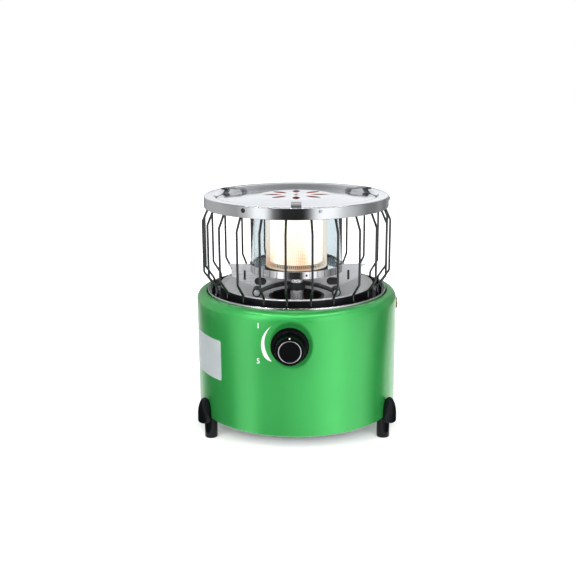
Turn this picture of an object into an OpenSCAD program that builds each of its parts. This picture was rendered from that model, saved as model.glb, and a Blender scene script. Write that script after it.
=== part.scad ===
/* [Drum] */
// Outer diameter of the painted drum
drum_d = 215; // [212:1:220]
// Height of the drum above its lower edge
drum_h = 128.8; // [126:0.1:131]
// Thickness of the sheet steel
sheet = 1.2; // [1:0.1:1.4]
// Radius of the drum's rolled shoulder
shoulder_r = 9; // [8:0.5:10]
// Diameter of the round opening in the drum's top
opening_d = 194; // [193:0.5:195]

/* [Feet] */
// Height of the drum's lower edge above the ground
ground_gap = 22; // [20:0.5:24]
// Diameter of the stem that stands on the ground
stem_d = 13.6; // [12:0.2:14]
// Diameter of the bulb that grips the drum's wall
bulb_d = 15; // [14:0.2:16]
// Height of the bulb's tip above the ground
bulb_top = 45; // [42:0.5:48]

/* [Guard and top] */
// Number of upright guard wires
wire_count = 24; // [24:24:24]
// Diameter of a guard wire
wire_d = 2.4; // [2:0.1:2.8]
// Radius of the circle on which the straight part of the wires stands
wire_r = 99.4; // [98:0.2:101]
// Outer diameter of the top plate
plate_d = 195.2; // [193:0.2:197]
// Height of the top plate's rim above the ground
plate_top = 252.6; // [251:0.1:254]
// Depth of the top plate's skirt
skirt_h = 12; // [11:0.2:13]

/* [Burner] */
// Outer diameter of the reflector bowl
bowl_d = 164.4; // [163:0.2:166]
// Outer diameter of the glass chimney
glass_d = 98; // [97:0.2:98.4]
// Outer diameter of the radiant mesh
mesh_d = 66; // [62:0.5:68]
// Outer diameter of the mixing tube
tube_d = 13.8; // [13:0.2:14]

/* [Tap and knob] */
// How far the knob's axis lies to the left of the drum's middle
knob_left = 6.8; // [5:0.2:9]
// Height of the knob's axis above the ground
knob_z = 118; // [115:0.5:120]
// Diameter of the knob's skirt
knob_d = 37.8; // [36:0.2:39]
// How far the knob can be pushed in
push_travel = 3; // [2.5:0.1:3]

/* [Gas inlet] */
// Azimuth of the inlet, from the front towards the right
inlet_az = 95; // [90:1:100]
// Height of the inlet's axis above the ground
inlet_z = 131; // [128:1:133]
// Core radius of the inlet's threaded hole
inlet_bore_r = 4.5; // [4:0.1:4.6]

/* [Hidden] */
$fn = 72;

// Drum
drum_r = drum_d / 2;
drum_in = drum_r - sheet;
drum_bottom = ground_gap;
drum_top = ground_gap + drum_h;
shoulder_z = drum_top - shoulder_r;
opening_r = opening_d / 2;
lip_r = drum_r - shoulder_r - opening_r;
lip_depth = 4.8;
flange_in = 96;
base_z = drum_bottom + sheet;

// Feet and screws
foot_az = [-60.5, 60.5, 180];
stem_at = 105.2;
bulb_at = 112;
foot_screw_at = 101.5;
screw_r = 1.6;
post_az = [30, 150, 270];
post_w = 14;
post_t = 1.5;
post_out = 91.5;
post_in = 79;
post_screw_at = 86.3;

// Guard
ring_z = 140;
ring_in = 80;
ring_out = opening_r - 1;
ring_top = drum_top + 1.7;
wire_first_az = -6;
wire_bend = 5;
wire_foot_r = wire_r - 9;
wire_top = plate_top - 10.1;
// The slanted end of a wire stays under the upper ring
wire_end_drop = 0.6;
wire_path = [
    [wire_foot_r, ring_z + sheet],
    [wire_foot_r, 159.5],
    [wire_r, 172],
    [wire_r, wire_top - 16],
    [wire_r - 6.9, wire_top - wire_end_drop],
];
bend_lap = 0.3;
bend_swell = 0.02;

// Top plate
plate_r = plate_d / 2;
plate_t = 1;
rim_r = 1.2;
skirt_bottom = plate_top - skirt_h;
crown_r = 38;
crown_z = plate_top - 0.7;
dish_r = 84;
dish_z = plate_top - 4.5;
rim_in = 87;
petal_count = 8;
petal_in = 14.5;
petal_out = 36;
petal_w = 8;
support_h = 1.7;
support_w = 10.2;
support_in = 65;
support_out = 93;
screw_z = plate_top - 4.7;
rivet_z = plate_top - 3.8;
screw_az = -32;
rivet_az = 13.7;

// Bowl and burner
bowl_r = bowl_d / 2;
bowl_top = drum_top + 7;
bowl_floor = 141.5;
bowl_lip_r = 1.6;
floor_r = 46;
wall_top_r = bowl_r - 3;
wall_top_z = bowl_top - 0.8;
cup_r = 28.4;
cup_depth = 13.5;
tube_r = tube_d / 2;
tube_bottom = 96;
tray_r = 50.3;
tray_z = 171;
tray_h = 8;
tray_floor = tray_z + 2;
glass_r = glass_d / 2;
glass_t = 2;
glass_top = 243;
mesh_r = mesh_d / 2;
mesh_bottom = tray_floor + 3;
mesh_top = 236;
bridge_r = 89;
bridge_w = 14;
bridge_top = 157;
stud_r = 4.8;
stud_x = 43;
plate_y = 30;
plate_h = 170.3;

// Tap: lengths along the knob's axis are counted outwards from the drum's middle
knob_x = -knob_left;
seat = 104.4;
seat_r = 20;
spindle_r = 3;
fit = 0.06;
cover_t = 3;
cover_back = seat - sheet - cover_t;
tap_r = 12;
tap_rear = 40;
plug_rear = 70;
plug_front = 88;
chamber_front = 62;
collar_at = 93;
knob_back = seat + 3.5;
knob_face = 127.5;
cap_r = 14.6;
tap_screw_off = 12.5;

steel = "silver";
dark_steel = "dimgray";
brass = "goldenrod";
paint = "limegreen";
black = [0.08, 0.09, 0.1];

function arc(c, r, from, to, n = 8) =
    [for (i = [0 : n]) let (a = from + (to - from) * i / n) c + r * [cos(a), sin(a)]];

// Height of the bowl's inner surface at radius r, without its lip
function bowl_z(r) =
    r <= floor_r ? bowl_floor
    : bowl_floor + (wall_top_z - bowl_floor) * pow((r - floor_r) / (wall_top_r - floor_r), 1.25);

// Height of the top plate's upper surface between its crown and its dish
function plate_z(r) = crown_z - (crown_z - dish_z) * (r - crown_r) / (dish_r - crown_r);

// Puts a child's +X along the outward direction at an azimuth from the front
module at_az(az) {
    rotate([0, 0, az - 90]) children();
}

// Puts a child's +Z along the knob's axis, outwards from the drum's middle
module on_knob_axis() {
    translate([knob_x, 0, knob_z]) rotate([90, 0, 0]) children();
}

// Puts a child's +Z along the inlet's axis, outwards
module on_inlet_axis() {
    translate([0, 0, inlet_z]) at_az(inlet_az) rotate([0, 90, 0]) children();
}

module ring(r_out, r_in, h) {
    difference() {
        cylinder(r = r_out, h = h);
        translate([0, 0, -1]) cylinder(r = r_in, h = h + 2);
    }
}

// A round pan-head screw pointing down, with its head's underside at z = 0
module pan_screw(length, head_r = 2.8, head_h = 1.8) {
    translate([0, 0, -length]) cylinder(r = screw_r, h = length);
    rotate_extrude()
        polygon(concat([[0, 0], [head_r, 0], [head_r, head_h * 0.4]],
            arc([head_r - head_h * 0.6, head_h * 0.4], head_h * 0.6, 0, 90, 4), [[0, head_h]]));
}

function unit(v) = v / norm(v);
function turn(points, i) =
    acos(unit(points[i] - points[i - 1]) * unit(points[i + 1] - points[i]));
function trim(points, i, bend) =
    i == 0 || i == len(points) - 1 ? 0 : bend * tan(turn(points, i) / 2);

// A straight round bar between two points
module bar(from, to, r) {
    v = to - from;
    translate(from) rotate([0, acos(v.z / norm(v)), atan2(v.y, v.x)]) cylinder(r = r, h = norm(v));
}

// One bend of a round bar: it starts on side x of the centre and heads along y
module elbow(centre, x, y, r, bend, angle) {
    z = cross(x, y);
    multmatrix([
        [x.x, y.x, z.x, centre.x], [x.y, y.y, z.y, centre.y], [x.z, y.z, z.z, centre.z], [0, 0, 0, 1]])
        rotate_extrude(angle = angle) translate([bend, 0]) circle(r = r);
}

// A round bar through a list of points, with its corners bent to one radius;
// the straight parts run a little way into the slightly thicker bends
module bent_bar(points, r, bend) {
    for (i = [0 : len(points) - 2]) {
        v = unit(points[i + 1] - points[i]);
        start = i == 0 ? 0 : trim(points, i, bend) - bend_lap;
        end = i == len(points) - 2 ? 0 : trim(points, i + 1, bend) - bend_lap;
        bar(points[i] + start * v, points[i + 1] - end * v, r);
    }
    for (i = [1 : len(points) - 2]) {
        v = unit(points[i] - points[i - 1]);
        w = unit(points[i + 1] - points[i]);
        side = unit(w - (w * v) * v);
        elbow(points[i] - trim(points, i, bend) * v + bend * side, -side, v,
            r + bend_swell, bend, turn(points, i));
    }
}

// ---- Drum, base and feet ----

shoulder_profile = concat(
    arc([drum_r - shoulder_r, shoulder_z], shoulder_r, 0, 90, 12),
    arc([opening_r + lip_r, drum_top - lip_r], lip_r, 100, 180, 5),
    [[opening_r, drum_top - lip_depth], [opening_r + sheet, drum_top - lip_depth]],
    arc([opening_r + lip_r, drum_top - lip_r], lip_r - sheet, 180, 100, 3),
    arc([drum_r - shoulder_r, shoulder_z], shoulder_r - sheet, 90, 0, 12));

// The cone that is pressed into the wall behind the knob, grown by a margin
module knob_recess(margin) {
    on_knob_axis() translate([0, 0, seat - margin])
        cylinder(r1 = seat_r + margin, r2 = seat_r + 6 + margin, h = 5 + margin);
}

// The panel of the drum's wall that spans two azimuths
module wall_panel(from, to) {
    translate([0, 0, base_z]) rotate([0, 0, from - 90])
        rotate_extrude(angle = to - from) translate([drum_in, 0]) square([sheet, shoulder_z - base_z]);
}

module drum_wall_front() {
    color(paint) difference() {
        wall_panel(-60, 60);
        knob_recess(sheet);
    }
}

module drum_wall_left() {
    color(paint) wall_panel(-180, -60);
}

module drum_wall_right() {
    color(paint) difference() {
        wall_panel(60, 180);
        on_inlet_axis() translate([0, 0, drum_r - 8]) cylinder(r = 6, h = 12);
    }
}

module drum_shoulder() {
    color(paint) difference() {
        rotate_extrude() polygon(shoulder_profile);
        knob_recess(sheet);
    }
}

// The flange under the drum's wall, on which the base plate lies
module drum_base_ring() {
    color(paint) difference() {
        rotate_extrude() polygon(concat(
            [[flange_in, base_z], [flange_in, drum_bottom]],
            arc([drum_r - sheet, base_z], sheet, -90, 0, 4)));
        for (az = foot_az)
            at_az(az) translate([foot_screw_at, 0, drum_bottom - 1]) cylinder(r = screw_r, h = 4);
    }
}

// The pressed seat that closes the wall behind the knob
module knob_seat() {
    color(paint) difference() {
        intersection() {
            knob_recess(sheet);
            translate([0, 0, knob_z - 40]) cylinder(r = drum_r, h = 66);
        }
        knob_recess(0);
        on_knob_axis() {
            translate([0, 0, seat - 3]) cylinder(r = 6, h = 6);
            for (side = [-1, 1])
                translate([0, side * tap_screw_off, seat - 3]) cylinder(r = screw_r, h = 6);
        }
    }
}

// Air rises through this opening in the drum's floor
base_opening_r = 62;

module base_plate() {
    color(dark_steel) difference() {
        translate([0, 0, base_z]) cylinder(r = drum_in - 0.3, h = sheet);
        for (az = foot_az)
            at_az(az) translate([foot_screw_at, 0, base_z - 1]) cylinder(r = screw_r, h = 4);
        for (az = post_az)
            at_az(az) translate([post_screw_at, 0, base_z - 1]) cylinder(r = screw_r, h = 4);
        translate([0, 0, base_z - 1]) cylinder(r = base_opening_r, h = 4);
    }
}

bulb_r = bulb_d / 2;
bulb_bottom = 17.5;
bulb_profile = concat(
    [[0, bulb_bottom], [bulb_r - 3, bulb_bottom]],
    arc([bulb_r - 3, bulb_bottom + 3], 3, -90, 0, 5),
    [for (a = [0 : 10 : 80]) [bulb_r * cos(a), 27 + (bulb_top - 27) * sin(a)]],
    [[0, bulb_top]]);

// A foot at +X: a stem under the drum and a bulb that grips its wall from outside
module foot() {
    color(black) difference() {
        union() {
            translate([stem_at, 0, 0]) rotate_extrude() polygon(
                [[0, 0], [stem_d / 2 - 0.8, 0], [stem_d / 2, 0.8], [stem_d / 2, drum_bottom], [0, drum_bottom]]);
            difference() {
                translate([bulb_at, 0, 0]) rotate_extrude() polygon(bulb_profile);
                translate([0, 0, drum_bottom]) cylinder(r = drum_r, h = bulb_top);
            }
        }
        translate([foot_screw_at, 0, 6]) cylinder(r = screw_r, h = drum_bottom);
    }
}

module foot_front_left() { at_az(foot_az[0]) foot(); }
module foot_front_right() { at_az(foot_az[1]) foot(); }
module foot_rear() { at_az(foot_az[2]) foot(); }

module foot_screws() {
    color(steel) for (az = foot_az)
        at_az(az) translate([foot_screw_at, 0, base_z + sheet]) pan_screw(base_z + sheet - 6);
}

// A strip bent twice, which carries the guard and the bowl on the base plate
module support_post(az) {
    z0 = base_z + sheet;
    color(steel) at_az(az) difference() {
        translate([0, post_w / 2, 0]) rotate([90, 0, 0]) linear_extrude(post_w) polygon([
            [post_in, z0], [post_out, z0], [post_out, ring_z], [post_in, ring_z],
            [post_in, ring_z - post_t], [post_out - post_t, ring_z - post_t],
            [post_out - post_t, z0 + post_t], [post_in, z0 + post_t]]);
        translate([post_screw_at, 0, z0 - 1]) cylinder(r = screw_r, h = post_t + 2);
        translate([post_screw_at, 0, ring_z - post_t - 1]) cylinder(r = screw_r, h = post_t + 2);
    }
}

module support_post_front() { support_post(post_az[0]); }
module support_post_rear() { support_post(post_az[1]); }
module support_post_left() { support_post(post_az[2]); }

module post_screws() {
    color(steel) for (az = post_az)
        at_az(az) translate([post_screw_at, 0, base_z + sheet + post_t])
            pan_screw(post_t + sheet + 3);
}

module bowl_screws() {
    color(steel) for (az = post_az)
        at_az(az) translate([post_screw_at, 0, ring_z + sheet + 1])
            pan_screw(sheet + 1 + post_t + 4, 2.6);
}

// ---- Guard and top plate ----

module guard_base_ring() {
    color(steel) difference() {
        rotate_extrude() polygon(concat(
            [[ring_in, ring_z], [ring_out, ring_z]],
            arc([ring_out - sheet / 2, ring_top - sheet / 2], sheet / 2, 0, 180, 6),
            [[ring_out - sheet, ring_z + sheet], [ring_in, ring_z + sheet]]));
        for (az = post_az)
            at_az(az) translate([post_screw_at, 0, ring_z - 1]) cylinder(r = screw_r, h = 4);
    }
}

module guard_wires() {
    color("gainsboro") for (i = [0 : wire_count - 1])
        at_az(wire_first_az + i * 360 / wire_count)
            bent_bar([for (p = wire_path) [p.x, 0, p.y]], wire_d / 2, wire_bend);
}

// The holes for the fixings through a wall at radius r
module fixing_holes(r) {
    for (az = [0 : 120 : 240], fixing = [[screw_az, screw_z], [rivet_az, rivet_z]])
        at_az(fixing.x + az) translate([r - 5, 0, fixing.y]) rotate([0, 90, 0])
            cylinder(r = 1.5, h = 10);
}

module guard_top_ring() {
    inner = plate_r - plate_t;
    color(steel) difference() {
        rotate_extrude() polygon([
            [90, wire_top], [inner, wire_top], [inner, plate_top - 1.8], [inner - sheet, plate_top - 1.8],
            [inner - sheet, wire_top + sheet], [90, wire_top + sheet]]);
        fixing_holes(inner);
    }
}

plate_profile = concat(
    [[0, crown_z], [crown_r, crown_z], [dish_r, dish_z], [rim_in, plate_top]],
    arc([plate_r - rim_r, plate_top - rim_r], rim_r, 90, 0, 6),
    [[plate_r, skirt_bottom], [plate_r - plate_t, skirt_bottom]],
    arc([plate_r - rim_r, plate_top - rim_r], rim_r - plate_t, 0, 90, 4),
    [[rim_in + 0.6, plate_top - plate_t], [dish_r + 0.4, dish_z - plate_t],
     [crown_r, crown_z - plate_t], [0, crown_z - plate_t]]);

// A leaf-shaped hole along +X
module petal() {
    half = (petal_out - petal_in) / 2;
    r = (half * half + petal_w * petal_w / 4) / petal_w;
    translate([petal_in + half, 0, crown_z - 5]) linear_extrude(10) intersection() {
        translate([0, r - petal_w / 2]) circle(r = r);
        translate([0, petal_w / 2 - r]) circle(r = r);
    }
}

module top_plate() {
    color(steel) difference() {
        rotate_extrude() polygon(plate_profile);
        for (i = [0 : petal_count - 1])
            rotate([0, 0, i * 360 / petal_count]) petal();
        cylinder(r = 1.5, h = 300);
        fixing_holes(plate_r);
    }
}

// A raised strip on which a pot stands, open at both sides
module pot_support(az) {
    top = plate_top + support_h;
    r0 = support_in;
    r1 = support_out;
    color(steel) at_az(az) translate([0, support_w / 2, 0]) rotate([90, 0, 0])
        linear_extrude(support_w) polygon([
            [r0, plate_z(r0) + 0.05], [r0 + 2.5, top], [r1 - 4.5, top], [r1, plate_top],
            [r1 - 3, plate_top], [r1 - 4.8, top - 1], [r0 + 3.2, top - 1],
            [r0 + 1.2, plate_z(r0 + 1.2) + 0.05]]);
}

module pot_support_front() { pot_support(0); }
module pot_support_left() { pot_support(-120); }
module pot_support_right() { pot_support(120); }

// Fixings through the skirt into the guard's top ring
module skirt_fixings(first, z, head_r, head_h) {
    for (az = [0 : 120 : 240])
        at_az(first + az) translate([plate_r, 0, z]) rotate([0, 90, 0]) {
            translate([0, 0, -4]) cylinder(r = 1.5, h = 4);
            cylinder(r1 = head_r, r2 = head_r * 0.7, h = head_h);
        }
}

module skirt_screws() { color(dark_steel) skirt_fixings(screw_az, screw_z, 2.4, 1.3); }
module skirt_rivets() { color(steel) skirt_fixings(rivet_az, rivet_z, 1.9, 0.8); }

module vent_rivet() {
    color(steel) {
        translate([0, 0, crown_z]) cylinder(r1 = 2.8, r2 = 1.8, h = 1);
        translate([0, 0, crown_z - 2]) cylinder(r = 1.5, h = 2);
    }
}

// The collar under the top plate that keeps the glass chimney's upper end in place
module chimney_collar() {
    r_in = glass_r + 0.3;
    r_out = r_in + 1;
    color(steel) rotate_extrude() polygon([
        [r_in, glass_top - 4], [r_out, glass_top - 4], [r_out, plate_z(r_out) - plate_t],
        [r_in - 5, plate_z(r_in - 5) - plate_t], [r_in - 5, plate_z(r_in - 5) - plate_t - 1],
        [r_in, plate_z(r_in) - plate_t - 1]]);
}

// ---- Bowl and burner ----

bowl_radii = [for (i = [0 : 8]) floor_r + (wall_top_r - floor_r) * i / 8];
bowl_profile = concat(
    [[bowl_r - 1, ring_z + sheet], [post_screw_at + 2.7, ring_z + sheet],
     [post_screw_at + 2.7, ring_z + sheet + 1], [bowl_r, ring_z + sheet + 1]],
    arc([bowl_r - bowl_lip_r, bowl_top - bowl_lip_r], bowl_lip_r, 0, 150, 8),
    [for (i = [8 : -1 : 0]) [bowl_radii[i], bowl_z(bowl_radii[i])]],
    [[cup_r + 0.1, bowl_floor], [cup_r + 0.1, bowl_floor - 1]],
    [for (i = [0 : 7]) [bowl_radii[i], bowl_z(bowl_radii[i]) - 1]],
    arc([bowl_r - bowl_lip_r, bowl_top - bowl_lip_r], bowl_lip_r - 1, 150, 0, 6));

module reflector_bowl() {
    color("gainsboro") difference() {
        rotate_extrude() polygon(bowl_profile);
        for (az = [-71, 49, 169])
            at_az(az) translate([57, 0, 150]) rotate([0, 0, 19]) cube([8.7, 2.4, 30], center = true);
        for (az = post_az)
            at_az(az) translate([post_screw_at, 0, ring_z]) cylinder(r = screw_r, h = 4);
    }
}

// The upright plate behind the burner, with its lower edge cut to the bowl's surface
module back_reflector() {
    half = [[77.8, plate_h], [76.8, plate_h - 3.8], [72.5, plate_h - 7.8], [72.5, bowl_floor]];
    left = [for (i = [3 : -1 : 0]) [-half[i].x, half[i].y]];
    color(steel) difference() {
        translate([0, plate_y + 1, 0]) rotate([90, 0, 0]) linear_extrude(1) difference() {
            polygon(concat(half, left));
            for (side = [-1, 1]) {
                translate([side * 40.3, 150.3]) scale_oval(6.7, 4.4);
                translate([side * 57.8 - 1.2, 152]) square([2.4, 11]);
            }
        }
        rotate_extrude() polygon(concat(
            [[0, 100], [0, bowl_floor]],
            [for (r = bowl_radii) [r, bowl_z(r)]],
            [[wall_top_r + 4, wall_top_z + 1.5], [wall_top_r + 4, 100]]));
    }
}

// An oval made of two end circles and the square between them
module scale_oval(half_w, half_h) {
    square([2 * (half_w - half_h), 2 * half_h], center = true);
    for (side = [-1, 1])
        translate([side * (half_w - half_h), 0]) circle(r = half_h);
}

module burner_bridge() {
    hub_r = tube_r + 2.6;
    centre_z = bridge_top - bridge_r - 1;
    color(black) difference() {
        union() {
            translate([0, 0, centre_z]) intersection() {
                rotate([90, 0, 0]) translate([0, 0, -bridge_w / 2]) ring(bridge_r + 1, bridge_r - 1, bridge_w);
                translate([-39, -bridge_w, 60]) cube([78, 2 * bridge_w, 60]);
            }
            translate([0, 0, bridge_top - 8]) cylinder(r = hub_r, h = 8);
            for (side = [-1, 1])
                translate([side * stud_x, bridge_w / 2, bowl_floor + stud_r]) rotate([90, 0, 0])
                    cylinder(r = stud_r, h = bridge_w);
        }
        translate([0, 0, 100]) cylinder(r = tube_r, h = 100);
        for (side = [-1, 1])
            translate([side * stud_x, 0, bowl_floor + stud_r]) rotate([90, 0, 0])
                cylinder(r = screw_r, h = 20);
    }
}

module bridge_screws() {
    color(steel) for (side = [-1, 1])
        translate([side * stud_x, -bridge_w / 2, bowl_floor + stud_r]) rotate([90, 0, 0])
            pan_screw(6, 3.4);
}

module burner_cup() {
    floor_z = bowl_floor - cup_depth;
    color(black) difference() {
        rotate_extrude() polygon([
            [0, floor_z], [cup_r, floor_z], [cup_r, bowl_floor], [cup_r + 1.6, bowl_floor],
            [cup_r + 1.6, bowl_floor + 1], [cup_r - 1, bowl_floor + 1], [cup_r - 1, floor_z + 1],
            [0, floor_z + 1]]);
        translate([0, 0, floor_z - 1]) cylinder(r = tube_r, h = 4);
        for (az = [22.5 : 45 : 337.5])
            at_az(az) translate([20, 0, floor_z - 1]) cylinder(r = 2.5, h = 4);
        for (rod = probes)
            translate([rod.x, rod.y, floor_z - 1]) cylinder(r = rod.z, h = 4);
    }
}

module mixing_tube() {
    color("gainsboro") difference() {
        translate([0, 0, tube_bottom]) ring(tube_r, tube_r - 0.8, tray_floor - tube_bottom);
        for (az = [45 : 90 : 315])
            at_az(az) translate([0, 0, tube_bottom + 10]) rotate([0, 90, 0]) cylinder(r = 2.6, h = 20);
    }
}

module burner_tray() {
    color(steel) difference() {
        rotate_extrude() polygon([
            [tube_r, tray_floor - 1], [tray_r - 1, tray_floor - 1], [tray_r - 1, tray_z],
            [tray_r, tray_z], [tray_r, tray_z + tray_h], [tray_r - 1, tray_z + tray_h],
            [tray_r - 1, tray_floor], [tube_r, tray_floor]]);
        for (i = [0 : 6])
            at_az(-39.5 + i * 360 / 7) translate([tray_r - 3, 0, tray_z + 4]) rotate([0, 90, 0])
                cylinder(r = 1.2, h = 6);
        for (az = [15 : 30 : 345])
            at_az(az) translate([41, 0, tray_floor - 2]) cylinder(r = 3, h = 4);
        for (rod = probes)
            translate([rod.x, rod.y, tray_floor - 2]) cylinder(r = rod.z, h = 4);
    }
}

module burner_head() {
    color(dark_steel) difference() {
        translate([0, 0, tray_floor]) union() {
            cylinder(r = mesh_r + 1, h = 3);
            cylinder(r = mesh_r - 1, h = 8);
        }
        translate([0, 0, tray_floor - 1]) cylinder(r = tube_r - 0.8, h = 6);
        for (az = [0 : 30 : 330])
            at_az(az) translate([22, 0, tray_floor + 5]) cylinder(r = 2, h = 4);
        for (rod = probes)
            translate([rod.x, rod.y, tray_floor - 1]) cylinder(r = rod.z, h = 12);
    }
}

mesh_hole_r = 1.8;

module radiant_mesh() {
    row_h = (mesh_top - mesh_bottom - 12) / 5;
    color("orange") difference() {
        translate([0, 0, mesh_bottom]) cylinder(r = mesh_r, h = mesh_top - mesh_bottom);
        translate([0, 0, mesh_bottom - 1]) cylinder(r = mesh_r - 1, h = mesh_top - mesh_bottom);
        for (row = [0 : 4], i = [0 : 11])
            at_az(i * 30 + (row % 2) * 15) translate([mesh_r - 5, 0, mesh_bottom + 11 + row * row_h])
                rotate([0, 90, 0]) cylinder(r = mesh_hole_r, h = 10);
    }
}

module glass_chimney() {
    color([0.8, 0.9, 0.95, 0.4]) translate([0, 0, tray_floor])
        ring(glass_r, glass_r - glass_t, glass_top - tray_floor);
}

// ---- Gas way ----

module injector() {
    color(brass) difference() {
        translate([0, 0, tube_bottom]) union() {
            cylinder(r = 4.5, h = 4);
            cylinder(r1 = 3.2, r2 = 2, h = 8);
        }
        translate([0, 0, tube_bottom - 1]) cylinder(r = 0.8, h = 20);
    }
}

module injector_holder() {
    color(brass) difference() {
        union() {
            translate([0, 0, tube_bottom - 14]) cylinder(r = tube_r + 1.5, h = 14);
            translate([0, 0, tube_bottom - 6]) rotate([90, 0, 0]) cylinder(r = 4.5, h = 14);
        }
        translate([0, 0, tube_bottom - 8]) cylinder(r = 2, h = 20);
        translate([0, 0, tube_bottom - 6]) rotate([90, 0, 0]) cylinder(r = 1.8, h = 20);
    }
}

pipe_r = 2.5;
inlet_dir = [sin(inlet_az), -cos(inlet_az), 0];
gas_in = [knob_x - tap_r - 8, -52, knob_z];
gas_out = [knob_x, -79, knob_z - tap_r - 6];

module gas_pipe_inlet() {
    color("peru") bent_bar([
        88 * inlet_dir + [0, 0, inlet_z], 72 * inlet_dir + [0, 0, inlet_z], [58, 38, 104],
        [-48, 34, 104], [-48, -52, knob_z], gas_in], pipe_r, 8);
}

module gas_pipe_burner() {
    color("peru") bent_bar([gas_out, gas_out - [0, 0, 10], [0, -30, tube_bottom - 6],
        [0, -14, tube_bottom - 6]], pipe_r, 8);
}

module inlet_union() {
    color(brass) on_inlet_axis() difference() {
        union() {
            translate([0, 0, 88]) cylinder(r = 5.9, h = drum_r + 0.4 - 88);
            translate([0, 0, drum_r + 0.4]) cylinder(r = 6.6, h = 2.4);
        }
        translate([0, 0, drum_r + 2.8 - 12]) cylinder(r = inlet_bore_r, h = 20);
        translate([0, 0, 80]) cylinder(r = 1.8, h = 20);
    }
}

module inlet_locknut() {
    color(brass) on_inlet_axis() difference() {
        translate([0, 0, drum_in - 6]) cylinder(r = 9, h = 5, $fn = 6);
        translate([0, 0, drum_in - 8]) cylinder(r = 5.9, h = 10);
    }
}

// ---- Tap, safety magnet and knob ----

module tap_body() {
    color(brass) difference() {
        union() {
            on_knob_axis() translate([0, 0, tap_rear]) cylinder(r = tap_r, h = cover_back - tap_rear);
            translate([gas_in.x, gas_in.y, gas_in.z]) rotate([0, 90, 0]) cylinder(r = 4.5, h = 12);
            translate(gas_out) cylinder(r = 4.5, h = 10);
        }
        on_knob_axis() {
            translate([0, 0, tap_rear - 1]) cylinder(r = 6, h = 6);
            translate([0, 0, tap_rear + 4]) cylinder(r = 7, h = chamber_front - tap_rear - 4);
            translate([0, 0, chamber_front - 1]) cylinder(r = 4, h = plug_rear - chamber_front + 2);
            translate([0, 0, plug_rear]) cylinder(r1 = 6.5, r2 = 8, h = plug_front - plug_rear);
            translate([0, 0, plug_front]) cylinder(r = 8.6, h = cover_back - plug_front + 1);
        }
        translate([gas_in.x - 1, gas_in.y, gas_in.z]) rotate([0, 90, 0]) cylinder(r = 1.8, h = 18);
        translate(gas_out - [0, 0, 1]) cylinder(r = 1.8, h = 18);
    }
}

module tap_cover() {
    color(steel) on_knob_axis() difference() {
        translate([0, 0, cover_back]) union() {
            cylinder(r = 15.5, h = cover_t);
            translate([0, -7, 0]) cube([27, 14, cover_t]);
        }
        translate([0, 0, cover_back - 1]) cylinder(r = spindle_r + fit, h = cover_t + 2);
        for (side = [-1, 1])
            translate([0, side * tap_screw_off, cover_back - 1]) cylinder(r = screw_r, h = cover_t + 2);
    }
}

module tap_screws() {
    color(steel) on_knob_axis() for (side = [-1, 1])
        translate([0, side * tap_screw_off, seat]) pan_screw(cover_t + sheet);
}

// The tapered plug that the spindle turns, with a slot for the spindle's cross pin
module tap_plug() {
    gap = 0.05;
    depth = plug_front - plug_rear;
    color(brass) on_knob_axis() difference() {
        translate([0, 0, plug_rear + 0.6]) cylinder(r1 = 6.5 - gap + 0.05, r2 = 8 - gap - 0.02, h = depth - 0.8);
        translate([0, 0, plug_rear]) cylinder(r = spindle_r + fit, h = depth + 2);
        translate([-6.2, -1.3, plug_front - 8]) cube([12.4, 2.6, 10]);
        translate([0, 0, plug_rear + 6]) rotate([-90, 0, 0]) cylinder(r = 1.6, h = 12);
    }
}

module spindle() {
    inner_end = 64;
    outer_end = knob_back + 13;
    flat_from = knob_back + 1;
    color(steel) on_knob_axis() difference() {
        union() {
            translate([0, 0, inner_end]) cylinder(r = spindle_r, h = outer_end - inner_end);
            translate([0, 0, collar_at]) cylinder(r = 4.6, h = 1.2);
            translate([-5.6, 0, plug_front - 2]) rotate([0, 90, 0]) cylinder(r = 1, h = 11.2);
        }
        translate([-5, spindle_r - 0.8, flat_from]) cube([10, 5, 30]);
    }
}

spring_turns = 2.5;
spring_wire = 0.4;
spring_from = plug_front + 0.1;
spring_rise = collar_at - plug_front - 0.2 - 2 * spring_wire;
steps = 60;
sides = 8;

// The coil between the plug and the spindle's collar
module spindle_spring() {
    points = [for (i = [0 : steps], j = [0 : sides - 1])
        let (a = i * 360 * spring_turns / steps, b = j * 360 / sides, r = 4 + spring_wire * cos(b))
        [r * cos(a), r * sin(a), spring_wire + spring_rise * i / steps + spring_wire * sin(b)]];
    walls = [for (i = [0 : steps - 1], j = [0 : sides - 1]) let (k = (j + 1) % sides)
        [i * sides + j, i * sides + k, (i + 1) * sides + k, (i + 1) * sides + j]];
    ends = [[for (j = [sides - 1 : -1 : 0]) j], [for (j = [0 : sides - 1]) steps * sides + j]];
    color(steel) on_knob_axis() translate([0, 0, spring_from])
        polyhedron(points, concat(walls, ends));
}

module safety_magnet() {
    color(steel) on_knob_axis() difference() {
        union() {
            translate([0, 0, tap_rear - 8]) cylinder(r = 8, h = 8, $fn = 6);
            translate([0, 0, tap_rear]) cylinder(r = 6, h = 4);
            translate([0, 0, tap_rear + 4]) cylinder(r = 5, h = 2.5);
        }
        translate([0, 0, tap_rear - 9]) cylinder(r = 1.2, h = 4);
    }
}

module magnet_poppet() {
    face = chamber_front - 0.3;
    color(dark_steel) on_knob_axis() {
        translate([0, 0, face - 2]) cylinder(r = 5.5, h = 2);
        translate([0, 0, face]) cylinder(r = 1.5, h = 2);
        translate([0, 0, tap_rear + 10]) cylinder(r = 1.5, h = face - 2 - tap_rear - 10);
    }
}

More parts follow.
